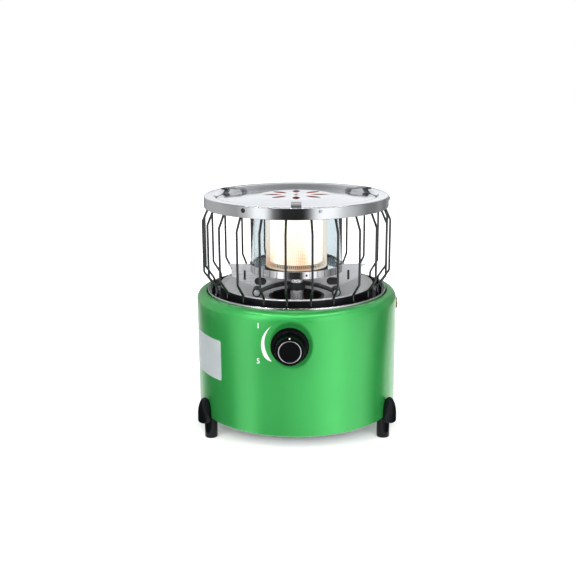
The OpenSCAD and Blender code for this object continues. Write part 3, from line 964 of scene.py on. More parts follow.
def dress(finish: Finish, *nodes: str) -> None:
    """Gives solids that are shown as they are their finish.

    Args:
        finish: The finish.
        *nodes: The solids' names.
    """
    for name in nodes:
        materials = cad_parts[name].data.materials
        materials.clear()
        materials.append(finish.material())
        log.info("%s: dressed in %s", name, finish.name)


# ---------------------------------------------------------------- the heater


@dataclass
class Drum:
    """The painted drum, with the seat pressed in behind the knob."""

    sheet: float = 1.2
    shoulder: float = 9.0
    opening: float = 97.0
    flange: float = 96.0
    lip_depth: float = 4.8
    seat_at: float = 104.4
    seat_radius: float = 20.0
    seat_slope: float = 1.2
    seat_edge: float = 1.5
    seat_fillet: float = 1.4
    seat_margin: float = 12.0
    drill: float = 6.0
    sides: int = 240
    radius: float = field(init=False)
    bottom: float = field(init=False)
    top: float = field(init=False)
    knob: Vector = field(init=False)

    def __post_init__(self) -> None:
        """Takes the main sizes from the solids."""
        self.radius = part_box("drum_shoulder")[1].x / MM
        self.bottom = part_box("drum_base_ring")[0].z / MM
        self.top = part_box("drum_shoulder")[1].z / MM
        low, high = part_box("knob")
        self.knob = (low + high) / 2 / MM

    def outline(self) -> Outline:
        """The outer surface from the bottom flange up and over to the lip's end.

        Returns:
            Radius and height of each ring.
        """
        shoulder = (self.radius - self.shoulder, self.top - self.shoulder)
        lip = shoulder[0] - self.opening
        rows = 16
        wall_low, wall_high = self.bottom + 2 * self.sheet, shoulder[1]
        wall = [(self.radius, wall_low + (wall_high - wall_low) * i / rows) for i in range(1, rows)]
        return [
            (self.flange, self.bottom),
            (self.radius - 4, self.bottom),
            *arc((self.radius - 1.6, self.bottom + 1.6), 1.6, -90, 0, 6),
            *wall,
            *arc(shoulder, self.shoulder, 0, 90, 20),
            *arc((shoulder[0], self.top - lip), lip, 100, 180, 8),
            (self.opening, self.top - self.lip_depth),
        ]

    def press_seat(self, shell: bpy.types.Object) -> None:
        """Presses the seat of the knob into the wall, with rounded edges.

        Args:
            shell: The drum's surface, before it gets its thickness.
        """
        reach = self.seat_radius + self.seat_margin
        knob = self.knob

        def near(point: Vector) -> bool:
            """Whether a point lies in the square round the knob."""
            flat = point / MM
            return flat.y < 0 and abs(flat.x - knob.x) < reach and abs(flat.z - knob.z) < reach

        pick_faces(shell, lambda centre, normal: near(centre))
        select_only(shell)
        bpy.ops.object.mode_set(mode="EDIT")
        bpy.ops.mesh.select_mode(type="FACE")
        bpy.ops.mesh.subdivide(number_cuts=4)
        bpy.ops.object.mode_set(mode="OBJECT")

        def pressed(point: Vector) -> Vector:
            """A wall point's place after pressing.

            Args:
                point: Its place before, in metres.

            Returns:
                Its place after.
            """
            x, y, z = point / MM
            if not near(point):
                return point
            if z < self.top - self.shoulder:
                y = -math.sqrt(self.radius ** 2 - x * x)
            out = math.hypot(x - knob.x, z - knob.z) - self.seat_radius
            soft = self.seat_edge
            rise = 0.0 if out < -soft else out if out > soft else (out + soft) ** 2 / (4 * soft)
            floor = self.seat_at + rise / self.seat_slope
            blend = max(self.seat_fillet - abs(-y - floor), 0.0)
            depth = min(-y, floor) - blend * blend / (4 * self.seat_fillet)
            return Vector((x, -depth, z)) * MM

        reshape(shell, pressed)

    def build(self) -> None:
        """Makes, drills and paints the drum."""
        shell = turned("drum", self.outline(), sheet=True, sides=self.sides)
        shell.data.transform(Matrix.Rotation(math.pi / self.sides, 4, "Z"))
        self.press_seat(shell)
        finish_modifier(shell, "SOLIDIFY", thickness=self.sheet * MM, offset=-1, use_even_offset=True)
        low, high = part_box("inlet_union")
        inlet = (low + high) / 2 / MM
        across = Vector((inlet.x, inlet.y, 0)).normalized()
        level = Vector((0, 0, inlet.z))
        seat = Vector((self.knob.x, -self.seat_at, self.knob.z))
        ahead = Vector((0, 6, 0))
        for start, end in ((level + across * 98, level + across * 118), (seat - ahead, seat + ahead)):
            combine(shell, rod("drill", start, end, self.drill), "DIFFERENCE")
        solids = ["drum_wall_front", "drum_wall_left", "drum_wall_right", "drum_shoulder", "drum_base_ring",
                  "knob_seat"]
        fit(shell, GREEN, stands_for=solids, crease=40)


@dataclass
class Lid:
    """The top plate with its vent star, the strips that a pot stands on, and its fixings."""

    sheet: float = 1.0
    edge: float = 1.2
    crown_radius: float = 38.0
    dish_radius: float = 84.0
    rim_radius: float = 87.0
    crown_drop: float = 0.7
    dish_fall: float = 3.8
    petals: int = 8
    petal_from: float = 14.5
    petal_to: float = 36.0
    petal_width: float = 8.0
    strip_inner: float = 67.5
    strip_outer: float = 88.5
    strip_width: float = 10.2
    radius: float = field(init=False)
    bottom: float = field(init=False)
    top: float = field(init=False)
    support_top: float = field(init=False)

    def __post_init__(self) -> None:
        """Takes the main sizes from the solids."""
        low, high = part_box("top_plate")
        self.radius, self.bottom, self.top = high.x / MM, low.z / MM, high.z / MM
        self.support_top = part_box("pot_support_front")[1].z / MM

    def floor(self, radius: float) -> float:
        """Height of the plate's upper surface between crown and dish.

        Args:
            radius: Distance from the middle.

        Returns:
            The height.
        """
        fall = (radius - self.crown_radius) / (self.dish_radius - self.crown_radius)
        return self.top - self.crown_drop - self.dish_fall * min(max(fall, 0.0), 1.0)

    def outline(self) -> Outline:
        """The closed outline of the sheet.

        Returns:
            Radius and height of each ring.
        """
        crown, dish = self.floor(0), self.floor(self.dish_radius)
        corner = (self.radius - self.edge, self.top - self.edge)
        over = [
            (self.crown_radius, crown), (self.crown_radius + 4, self.floor(self.crown_radius + 4)),
            (self.dish_radius - 6, self.floor(self.dish_radius - 6)), (self.dish_radius - 1, dish + 0.05),
            (self.dish_radius, dish + 0.3), (self.rim_radius - 0.4, self.top - 0.4),
            (self.rim_radius + 0.3, self.top - 0.05), (self.rim_radius + 1.2, self.top),
        ]
        under = [(r, z - self.sheet) for r, z in reversed(over[:-1])]
        return [
            (0, crown), (self.crown_radius - 1, crown), *over,
            *arc(corner, self.edge, 90, 0, 8),
            (self.radius, self.bottom + 0.3), (self.radius - 0.3, self.bottom),
            (self.radius - self.sheet, self.bottom),
            *arc(corner, self.edge - self.sheet, 0, 90, 5),
            *under,
            (self.crown_radius - 1, crown - self.sheet), (0, crown - self.sheet),
        ]

    def petal(self) -> bpy.types.Object:
        """A leaf-shaped cutter for one hole of the vent star, towards +X.

        Returns:
            The cutter.
        """
        half = (self.petal_to - self.petal_from) / 2
        deselect()
        bpy.ops.mesh.primitive_cylinder_add(vertices=40, radius=half * MM, depth=8 * MM)
        leaf = bpy.context.object

        def pinched(point: Vector) -> Vector:
            """A point of the leaf's outline from the circle's.

            Args:
                point: The circle's point, in metres.

            Returns:
                The leaf's point.
            """
            x, y, z = point / MM
            width = self.petal_width / 2 * (1 - (x / half) ** 2) + 0.02
            return Vector((x + self.petal_from + half, math.copysign(width, y), z + self.top)) * MM

        reshape(leaf, pinched)
        return leaf

    def plate(self) -> None:
        """Makes the plate and cuts its star."""
        plate = turned("lid_plate", self.outline())
        star = round_copies(self.petal(), [360 / self.petals * i for i in range(self.petals)])
        combine(plate, star, "DIFFERENCE")
        fit(plate, LID_STEEL, stands_for=["top_plate"])
        rivet = turned("vent_rivet_head", [
            (0, self.top + 0.3), (0.9, self.top + 0.25), (2.0, self.top - 0.1), (2.8, self.top - 0.7),
            (1.5, self.top - 0.7), (1.5, self.top - 2.7), (0, self.top - 2.7)], sides=48)
        fit(rivet, ZINC, stands_for=["vent_rivet"])

    def support(self) -> bpy.types.Object:
        """Bends one strip, pointing to +X.

        Returns:
            The strip.
        """
        inner, outer = self.strip_inner, self.strip_outer
        top = self.support_top - self.sheet
        deselect()
        bpy.ops.mesh.primitive_plane_add(size=1, location=((inner + outer) / 2 * MM, 0, top * MM))
        bpy.context.object.scale = ((outer - inner) * MM, self.strip_width * MM, 1)
        strip = settled(bpy.context.object)
        ends = [(inner, Vector((-2.5, 0, self.floor(inner - 2.5) + 0.1 - top))),
                (outer, Vector((4.5, 0, self.top - top)))]
        for at, way in ends:
            with editing(strip):
                bpy.ops.object.mode_set(mode="OBJECT")
                for edge in strip.data.edges:
                    first, second = (strip.data.vertices[i].co for i in edge.vertices)
                    edge.select = all(abs(point.x - at * MM) < 0.1 * MM for point in (first, second))
                bpy.ops.object.mode_set(mode="EDIT")
                bpy.ops.mesh.select_mode(type="EDGE")
                bpy.ops.mesh.extrude_edges_move(TRANSFORM_OT_translate={"value": way * MM})
        with editing(strip):
            bpy.ops.mesh.select_all(action="SELECT")
            bpy.ops.mesh.normals_make_consistent(inside=False)
        if strip.data.polygons[0].normal.z < 0:
            strip.data.flip_normals()
        finish_modifier(strip, "BEVEL", width=1.2 * MM, segments=4, limit_method="ANGLE", affect="EDGES")
        finish_modifier(strip, "SOLIDIFY", thickness=self.sheet * MM, offset=1)
        finish_modifier(strip, "BEVEL", width=0.25 * MM, segments=2, limit_method="ANGLE")
        return strip

    def build(self) -> None:
        """Makes the plate and its three strips."""
        self.plate()
        strip = self.support()
        for place, azimuth in (("front", 0), ("left", -120), ("right", 120)):
            twin = copied(strip, azimuth - 90)
            twin.name = f"pot_strip_{place}"
            fit(twin, STRIP_STEEL, stands_for=[f"pot_support_{place}"])
        bpy.data.objects.remove(strip)


@dataclass(frozen=True)
class Fixing:
    """Three alike fixings in the lid's skirt."""

    kind: str
    first: float
    drop: float
    radius: float
    depth: float
    finish: Finish
    slot: Slot
    crossed: bool = False

    def button(self) -> bpy.types.Object:
        """Makes one head on its shank, pointing up.

        Returns:
            The fixing.
        """
        radius, depth, cut = self.radius, self.depth, 0.55
        button = turned("fixing", [
            (0, depth), (radius * 0.45, depth * 0.92), (radius * 0.8, depth * 0.62), (radius, 0),
            (1.5, -0.01), (1.5, -4), (0, -4)], sides=32)
        if self.crossed:
            for x, y in ((radius, 0.3), (0.3, radius)):
                combine(button, block("slot", (-x, -y, depth - cut), (x, y, depth + 1)), "DIFFERENCE")
        return button

    def build(self) -> None:
        """Sets the three into the skirt."""
        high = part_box("top_plate")[1]
        spot = polar(self.first, high.x / MM, high.z / MM - self.drop) * MM
        group = round_copies(aimed(self.button(), polar(self.first, 1, 0), spot), (0, 120, 240))
        group.name = f"skirt_{self.kind}_heads"
        fit(group, self.finish, stands_for=[f"skirt_{self.kind}"])


@dataclass
class Guard:
    """The upright wires between a ring in the drum's mouth and a ring under the lid."""

    count: int = 24
    first: float = -6.0
    wire: float = 1.2
    bend: float = 5.0
    foot_in: float = 9.0
    knee: float = 159.5
    waist: float = 172.0
    neck: float = 15.4
    head_in: float = 6.9
    ring_floor: float = 140.0
    ring_inner: float = 80.0
    upper_inner: float = 90.0
    sheet: float = 1.2

    def path(self) -> Outline:
        """Corners of one wire, as radius and height.

        Returns:
            The corners, from the foot up.
        """
        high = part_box("guard_wires")[1]
        wide = high.x / MM / math.cos(math.radians(self.first)) - self.wire
        foot, head = self.ring_floor + self.sheet, high.z / MM - 0.5
        narrow = wide - self.foot_in
        return [(narrow, foot), (narrow, self.knee), (wide, self.waist), (wide, head - self.neck),
                (wide - self.head_in, head)]

    def bent_wire(self) -> bpy.types.Object:
        """Bends one wire in the XZ plane: straight runs are extruded and bends are spun.

        Returns:
            The wire.
        """
        points = [Vector(point) for point in self.path()]
        deselect()
        bpy.ops.mesh.primitive_circle_add(vertices=14, radius=self.wire * MM,
                                          location=(points[0].x * MM, 0, points[0].y * MM))
        wire = settled(bpy.context.object)
        with editing(wire):
            bpy.ops.mesh.select_mode(type="EDGE")
            bpy.ops.mesh.select_all(action="SELECT")
            used = 0.0
            for i in range(1, len(points)):
                way = (points[i] - points[i - 1]).normalized()
                after = (points[i + 1] - points[i]).normalized() if i + 1 < len(points) else way
                turn = math.atan2(way.x * after.y - way.y * after.x, way.dot(after))
                trim = self.bend * math.tan(abs(turn) / 2)
                run = (points[i] - points[i - 1]).length - used - trim
                step = Vector((way.x, 0, way.y)) * run * MM
                bpy.ops.mesh.extrude_edges_move(TRANSFORM_OT_translate={"value": step})
                if abs(turn) > 0:
                    side = math.copysign(1, turn)
                    corner = points[i] - trim * way + self.bend * side * Vector((-way.y, way.x))
                    bpy.ops.mesh.spin(steps=5, angle=turn, axis=(0, 1, 0),
                                      center=(corner.x * MM, 0, corner.y * MM))
                used = trim
            bpy.ops.mesh.select_all(action="SELECT")
            bpy.ops.mesh.remove_doubles(threshold=0.01 * MM)
            bpy.ops.mesh.fill_holes(sides=0)
            bpy.ops.mesh.normals_make_consistent(inside=False)
        return wire

    def build(self) -> None:
        """Makes the wires, both rings and the fixings in the lid's skirt."""
        wire = self.bent_wire()
        for i in range(self.count):
            twin = copied(wire, self.first + 360 / self.count * i - 90)
            twin.name = f"guard_wire_{i + 1:02d}"
            # Near-black base colour on chrome: painted dark reflection.
            fit(twin, CHROME_WIRE_PAINTED_DARK, stands_for=["guard_wires"])
        bpy.data.objects.remove(wire)
        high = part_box("guard_base_ring")[1]
        outer, top = high.y / MM, high.z / MM
        half = self.sheet / 2
        base = turned("mouth_ring", [
            (self.ring_inner, self.ring_floor), (outer - 1, self.ring_floor), (outer, self.ring_floor + 1),
            *arc((outer - half, top - half), half, 0, 180, 8),
            (outer - self.sheet, self.ring_floor + 2), (outer - 2, self.ring_floor + self.sheet),
            (self.ring_inner, self.ring_floor + self.sheet)])
        fit(base, RING_STEEL, stands_for=["guard_base_ring"])
        low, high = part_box("guard_top_ring")
        outer, under, top = high.y / MM, low.z / MM, high.z / MM
        upper = turned("lid_ring", [
            (self.upper_inner, under), (outer - 0.8, under), (outer, under + 0.8), (outer, top),
            (outer - self.sheet, top), (outer - self.sheet, under + 1.6), (outer - 1.8, under + self.sheet),
            (self.upper_inner, under + self.sheet)])
        fit(upper, ZINC, stands_for=["guard_top_ring"])
        Fixing("screws", -32, 4.7, 2.4, 1.3, BURNER_BLACK, Slot.ZINC, crossed=True).build()
        Fixing("rivets", 13.7, 3.8, 1.9, 0.8, ZINC, Slot.STEEL).build()


@dataclass
class Burner:
    """Everything in the drum's mouth: bowl, bridge, tray, mantle and glass."""

    bowl_foot: float = 141.2
    bowl_floor: float = 141.5
    floor_radius: float = 46.0
    wall_inner: float = 79.2
    wall_outer: float = 82.2
    bowl_flange: float = 89.0
    lip: float = 1.6
    cup_radius: float = 28.4
    cup_depth: float = 13.5
    bridge_radius: float = 89.0
    bridge_top: float = 157.0
    stud_x: float = 43.0
    stud: float = 4.8
    plate_y: float = 30.0
    plate_half: float = 77.6
    plate_sheet: float = 0.7
    plate_tall: float = 28.0
    plate_corner: float = 3.8
    plate_step: float = 4.3
    flute: float = 0.35
    flute_pitch: float = 2.2
    flute_fade: float = 7.0
    bowl_top: float = field(init=False)
    tube: float = field(init=False)

    def __post_init__(self) -> None:
        """Takes the bowl's height and the mixing tube's radius from their solids."""
        self.bowl_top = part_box("reflector_bowl")[1].z / MM
        self.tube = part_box("mixing_tube")[1].x / MM

    def bowl_height(self, radius: float) -> float:
        """Height of the bowl's inner surface.

        Args:
            radius: Distance from the middle.

        Returns:
            The height.
        """
        share = max(radius - self.floor_radius, 0.0) / (self.wall_inner - self.floor_radius)
        return self.bowl_floor + (self.bowl_top - 0.8 - self.bowl_floor) * share ** 1.25

    def bowl(self) -> None:
        """Makes the reflector bowl."""
        outer, foot, rows = self.wall_outer, self.bowl_foot, 12
        lip = (outer - self.lip, self.bowl_top - self.lip)
        radii = [self.wall_inner - (self.wall_inner - self.floor_radius) * i / rows for i in range(rows + 1)]
        bowl = turned("reflector", [
            (outer - 1, foot), (self.bowl_flange, foot), (self.bowl_flange, foot + 1),
            (outer + 0.6, foot + 1), (outer, foot + 1.6),
            *arc(lip, self.lip, 0, 150, 10),
            *((r, self.bowl_height(r)) for r in radii),
            (self.cup_radius + 0.1, self.bowl_floor), (self.cup_radius + 0.1, self.bowl_floor - 1),
            *((r, self.bowl_height(r) - 1) for r in reversed(radii[1:])),
            *arc(lip, self.lip - 1, 150, 0, 6)])
        slot = block("slot", (-4.35, -1.2, 136), (4.35, 1.2, 160))
        slot.rotation_euler = (0, 0, math.radians(19))
        slot.location = polar(0, 57, 0) * MM
        combine(bowl, round_copies(settled(slot), (-71, 49, 169)), "DIFFERENCE")
        fit(bowl, BOWL_STEEL, stands_for=["reflector_bowl"])
        # Painted shade: the bowl's outer wall and its part behind the upright plate are made near-black.
        refinish(bowl, BOWL_PAINTED_SHADE, self.in_the_dark)

    def in_the_dark(self, spot: Vector) -> bool:
        """Whether a spot of the bowl lies outside its wall or behind the upright plate.

        Args:
            spot: The place, in millimetres.

        Returns:
            True where the bowl is made near-black as painted shade.
        """
        outside = math.hypot(spot.x, spot.y) > self.wall_outer - 0.8 and spot.z < self.bowl_top - 1.2
        return outside or spot.y > self.plate_y + 1.5

    def shield(self) -> None:
        """Makes the upright plate behind the burner, fluted along its top."""
        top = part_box("back_reflector")[1].z / MM
        deselect()
        bpy.ops.mesh.primitive_grid_add(x_subdivisions=260, y_subdivisions=24, size=1)
        plate = bpy.context.object
        plate.name = "back_shield"

        def stood(point: Vector) -> Vector:
            """Stands the grid up, trims it to the plate's outline and flutes it.

            Args:
                point: A point of the flat grid.

            Returns:
                Its place on the plate.
            """
            across, up = point.x * 2, point.y + 0.5
            drop = (1 - up) * self.plate_tall
            step = min(max(drop - self.plate_corner, 0) / 4, 1)
            width = self.plate_half - min(drop / self.plate_corner, 1) - self.plate_step * step
            x = across * width
            low = max(self.bowl_height(math.hypot(x, self.plate_y)), self.bowl_floor) + 0.05
            z = low + (top - low) * up
            wave = math.sin(x * math.tau / self.flute_pitch) * max(0.0, 1 - drop / self.flute_fade)
            return Vector((x, self.plate_y + 0.5 + self.flute * wave, z)) * MM

        reshape(plate, stood)
        finish_modifier(plate, "SOLIDIFY", thickness=self.plate_sheet * MM, offset=0)
        front, rear, level, eye = 20, 40, 150.3, 4.4
        for side in (-1, 1):
            ends = [rod("eye", Vector((side * x, front, level)), Vector((side * x, rear, level)), eye)
                    for x in (38.0, 42.6)]
            eye_at, slot_at = side * 40.3, side * 57.8
            middle = block("eye", (eye_at - 2.3, front, level - eye), (eye_at + 2.3, rear, level + eye))
            slot = block("slot", (slot_at - 1.2, front, 152), (slot_at + 1.2, rear, 163))
            for hole in (*ends, middle, slot):
                combine(plate, hole, "DIFFERENCE")
        fit(plate, PLATE_STEEL, stands_for=["back_reflector"])

    def bridge(self) -> None:
        """Makes the arched strap with its hub and ears, and the screws in the ears."""
        tube, centre = self.tube, self.bridge_top - self.bridge_radius - 1
        deselect()
        bpy.ops.mesh.primitive_grid_add(x_subdivisions=40, y_subdivisions=2, size=1)
        strap = bpy.context.object
        strap.name = "bridge_strap"

        def arched(point: Vector) -> Vector:
            """Bends the flat strip to the bridge's arc.

            Args:
                point: A point of the strip.

            Returns:
                Its place on the arc.
            """
            x = point.x * 78
            rise = math.sqrt(self.bridge_radius ** 2 - x * x)
            return Vector((x, point.y * 14, centre + rise)) * MM

        reshape(strap, arched)
        finish_modifier(strap, "SOLIDIFY", thickness=2 * MM, offset=0)
        finish_modifier(strap, "BEVEL", width=0.4 * MM, segments=2, limit_method="ANGLE", angle_limit=0.9)
        top = self.bridge_top
        hub = turned("hub", [(tube, top - 8), (tube + 2.2, top - 8), (tube + 2.6, top - 7.6),
                             (tube + 2.6, top - 0.5), (tube + 2.1, top), (tube, top)], sides=64)
        bore = rod("bore", Vector((0, 0, top - 12)), Vector((0, 0, top + 4)), tube + 0.6)
        combine(strap, bore, "DIFFERENCE")
        ear = turned("ear", [(0, -7), (self.stud - 0.4, -7), (self.stud, -6.6), (self.stud, 6.6),
                             (self.stud - 0.4, 7), (0, 7)], sides=48)
        spot = Vector((self.stud_x, 0, self.bowl_floor + self.stud))
        strap = joined([strap, hub, *faced_pair(ear, spot)])
        fit(strap, BURNER_BLACK, stands_for=["burner_bridge"])
        head = turned("head", [(0, 1.9), (1.2, 1.85), (2.4, 1.5), (3.4, 0.6), (3.4, 0), (1.6, 0),
                               (1.6, -6), (0, -6)], sides=40)
        combine(head, block("slot", (-3, -0.4, 1.1), (3, 0.4, 3)), "DIFFERENCE")
        group = joined(faced_pair(head, spot - Vector((0, 7, 0))))
        group.name = "bridge_screw_heads"
        fit(group, ZINC, stands_for=["bridge_screws"])

    def cup(self) -> None:
        """Makes the black cup in the bowl's middle."""
        low, top = self.bowl_floor - self.cup_depth, self.bowl_floor + 1
        rim = self.cup_radius + 1.6
        cup = turned("burner_well", [
            (self.tube, low), (self.cup_radius - 1.5, low),
            *arc((self.cup_radius - 1.5, low + 1.5), 1.5, -60, 0, 4),
            (self.cup_radius, self.bowl_floor), (rim, self.bowl_floor), (rim + 0.3, top - 0.5), (rim, top),
            (self.cup_radius - 0.2, top), (self.cup_radius - 1, top - 0.8), (self.cup_radius - 1, low + 2),
            (self.cup_radius - 2, low + 1), (self.tube, low + 1)], sides=128)
        drill_round(cup, 8, 22.5, (20, low - 3), (20, low + 3), 2.5, sides=24)
        fit(cup, BURNER_BLACK, stands_for=["burner_cup"])

    def pipe(self) -> None:
        """Makes the mixing tube with its air holes."""
        low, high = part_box("mixing_tube")
        radius, foot, head = self.tube, low.z / MM, high.z / MM
        tube = turned("mixing_pipe", [
            (radius - 0.8, foot), (radius - 0.2, foot), (radius, foot + 0.3), (radius, head),
            (radius - 0.8, head)], sides=96)
        drill_round(tube, 4, 45, (3, foot + 10), (12, foot + 10), 2.6, sides=32)
        fit(tube, TUBE_STEEL, stands_for=["mixing_tube"])

    def tray(self) -> None:
        """Makes the tray under the glass."""
        low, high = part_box("burner_tray")
        edge, under, over = high.y / MM, low.z / MM, high.z / MM
        tray = turned("tray", [
            (self.tube, under + 1), (edge - 1, under + 1), (edge - 1, under), (edge - 0.3, under),
            (edge, under + 0.4), (edge, over - 0.4), *arc((edge - 0.5, over - 0.4), 0.5, 0, 180, 6),
            (edge - 1, under + 2), (self.tube, under + 2)])
        drill_round(tray, 7, -39.5, (edge - 4, under + 4), (edge + 4, under + 4), 1.2, sides=24)
        fit(tray, RING_STEEL, stands_for=["burner_tray"])

    def chimney(self) -> None:
        """Makes the glass."""
        low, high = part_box("glass_chimney")
        outer, foot, head = high.y / MM, low.z / MM, high.z / MM
        glass = turned("chimney", [
            (outer - 1.6, foot), (outer - 0.4, foot), (outer, foot + 0.4), (outer, head - 0.6),
            *arc((outer - 0.9, head - 0.9), 0.9, 10, 170, 6), (outer - 2, head - 1.2),
            (outer - 2, foot + 0.4)])
        fit(glass, GLASS, stands_for=["glass_chimney"])

    def mantle(self) -> None:
        """Makes the glowing gauze with its crimped hoops and closed top."""
        low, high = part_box("radiant_mesh")
        radius, foot, head = high.x / MM, low.z / MM, high.z / MM
        gauze = turned("gauze", [(radius - 0.4, foot + (head - foot - 1) * i / 40) for i in range(41)],
                       sheet=True, sides=100)
        finish_modifier(gauze, "WIREFRAME", thickness=0.62 * MM, use_even_offset=False)
        core = turned("mantle_core", [
            (radius - 5.4, foot), (radius - 4.6, foot + 1), (radius - 4.6, head - 3),
            *arc((radius - 7.6, head - 4), 3, 0, 90, 6), (0, head - 1)], sheet=True, sides=96)
        hoop = turned("hoop", [(radius - 0.9, foot), (radius, foot + 0.4), (radius, foot + 1.4),
                               (radius - 0.9, foot + 1.8)], sides=96)
        upper = copied(hoop)
        upper.data.transform(Matrix.Translation((0, 0, (head - foot - 1.8) * MM)))
        gauze = joined([gauze, core, hoop, upper])
        gauze.name = "mantle"
        fit(gauze, MANTLE, stands_for=["radiant_mesh"])
        refinish(gauze, GAUZE, lambda spot: math.hypot(spot.x, spot.y) > radius - 1.2)
        refinish(gauze, MANTLE_TOP, lambda spot: spot.z > head - 1.2)

    def electrode(self) -> None:
        """Makes the ceramic rod beside the mixing tube."""
        low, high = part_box("ignition_electrode")
        middle, foot, head = (low + high) / 2 / MM, low.z / MM, high.z / MM
        rise = turned("electrode", [
            (0, foot), (0.9, foot), (1.0, foot + 0.2), (1.0, head - 8), (0.8, head - 7.2), (0.4, head - 7),
            (0.4, head - 0.4), (0, head)], sides=32)
        rise.location = (middle.x * MM, middle.y * MM, 0)
        fit(settled(rise), CERAMIC, stands_for=["ignition_electrode"])

    def build(self) -> None:
        """Makes all of it, from the bowl up."""
        for piece in (self.bowl, self.shield, self.bridge, self.cup, self.pipe, self.tray, self.mantle,
                      self.chimney):
            piece()
        dress(BURNER_BLACK, "burner_head")
        # The collar's dark red is painted glow from the mantle.
        dress(COLLAR_PAINTED_GLOW, "chimney_collar")
        self.electrode()


@dataclass
class Knob:
    """The control knob, its ring and mark, and the printed scale beside it."""

    flange: float = 2.0
    cap: float = 14.6
    scale_radius: float = 26.4
    scale_from: float = 134.0
    scale_sweep: float = 88.0
    scale_swell: float = 2.0
    scale_width: float = 2.6
    tail_from: float = 0.82
    tail_cut: float = 3.1
    numeral: float = 7.6
    print_lift: float = 0.06
    wall: float = field(init=False)

    def __post_init__(self) -> None:
        """Takes the drum's radius from its solid."""
        self.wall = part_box("drum_shoulder")[1].y / MM

    def outline(self, back: float, face: float, radius: float) -> Outline:
        """The knob's closed outline, with distance along its axis as height.

        Args:
            back: Where the skirt starts.
            face: Where the face is.
            radius: The skirt's radius.

        Returns:
            The outline.
        """
        sweep = radius - self.cap
        return [
            (3.05, back + 13), (3.05, back), (6, back), (6, back + 11.9), (12.4, back + 11.9),
            (12.4, back + 2), (16.9, back + 2), (16.9, back), (radius - 0.5, back), (radius, back + 0.5),
            (radius, back + self.flange),
            *arc((radius, back + self.flange + sweep), sweep, -92, -180, 12),
            (self.cap - 0.4, face - 1.6),
            *arc((self.cap - 2, face - 1.6), 1.6, 5, 85, 8),
            (11.2, face), (11.2, face - 0.45), (10.5, face - 0.45), (10.5, face - 0.1), (10.1, face - 0.12),
            (9.6, face - 0.6), (6, face - 0.9), (0, face - 1.0),
        ]

    def build(self) -> None:
        """Makes the knob and what goes with it."""
        low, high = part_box("knob")
        middle = (low + high) / 2 / MM
        radius = (high.x - low.x) / 2 / MM
        back, face = -high.y / MM, -low.y / MM
        axis = Vector((middle.x, 0, middle.z))
        outline = self.outline(back, face, radius)
        knob = faced(turned("knob_cap", [(0, back + 13), *outline], sides=160), axis)
        fit(knob, KNOB_BLACK, Body.KNOB, ["knob"], crease=28)
        ring = faced(turned("face_ring", [
            (10.5, face - 0.4), (11.2, face - 0.4), (11.2, face + 0.05), (11.0, face + 0.18),
            (10.7, face + 0.18), (10.5, face + 0.05)], sides=160), axis)
        fit(ring, RING_STEEL, Body.KNOB, ["knob_ring"])
        low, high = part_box("knob_pointer")
        mark = block("pointer_mark", low / MM, high / MM)
        finish_modifier(mark, "BEVEL", width=0.15 * MM, segments=2)
        fit(mark, PRINT, Body.KNOB, ["knob_pointer"])
        self.printed_scale(middle)

    def on_wall(self, x: float, z: float) -> Vector:
        """A point on the drum's wall, just proud of the paint.

        Args:
            x: Place to the right.
            z: Height.

        Returns:
            The point in metres.
        """
        radius = self.wall + self.print_lift
        return Vector((x, -math.sqrt(radius * radius - x * x), z)) * MM

    def printed_scale(self, middle: Vector) -> None:
        """Prints the crescent that widens with the flame, and a numeral at each end.

        Args:
            middle: A point on the knob's axis.
        """
        deselect()
        bpy.ops.mesh.primitive_grid_add(x_subdivisions=48, y_subdivisions=3, size=1)
        crescent = bpy.context.object
        crescent.name = "flame_scale"

        def swept(point: Vector) -> Vector:
            """Bends the flat strip to the crescent.

            Args:
                point: A point of the strip.

            Returns:
                Its place on the drum.
            """
            along, across = point.x + 0.5, point.y + 0.5
            angle = math.radians(self.scale_from + self.scale_sweep * along)
            outer = self.scale_radius + self.scale_swell * math.sin(min(along / 0.65, 1) * math.pi / 2)
            outer -= self.tail_cut * max((along - self.tail_from) / (1 - self.tail_from), 0) ** 1.3
            inner = self.scale_radius - 0.05 - self.scale_width * min(along, 0.8)
            reach = outer + (inner - outer) * across
            return self.on_wall(middle.x + reach * math.cos(angle), middle.z + reach * math.sin(angle))

        reshape(crescent, swept)
        finish_modifier(crescent, "SOLIDIFY", thickness=0.05 * MM, offset=-1)
        fit(crescent, PRINT)
        for name, text, azimuth, level in (("low", "1", -20.6, 136.6), ("high", "5", -20.8, 100.2)):
            deselect()
            bpy.ops.object.text_add(radius=self.numeral * MM)
            numeral = bpy.context.object
            letter = {"body": text, "align_x": "CENTER", "align_y": "CENTER", "extrude": 0.02 * MM,
                      "offset": 0.1 * MM}
            for setting, value in letter.items():
                setattr(numeral.data, setting, value)
            bpy.ops.object.convert(target="MESH")
            numeral = bpy.context.object
            numeral.name = f"scale_numeral_{name}"
            numeral.rotation_euler = (math.radians(90), 0, math.radians(azimuth))
            numeral.location = polar(azimuth, self.wall + 0.03, level) * MM
            fit(settled(numeral), PRINT)


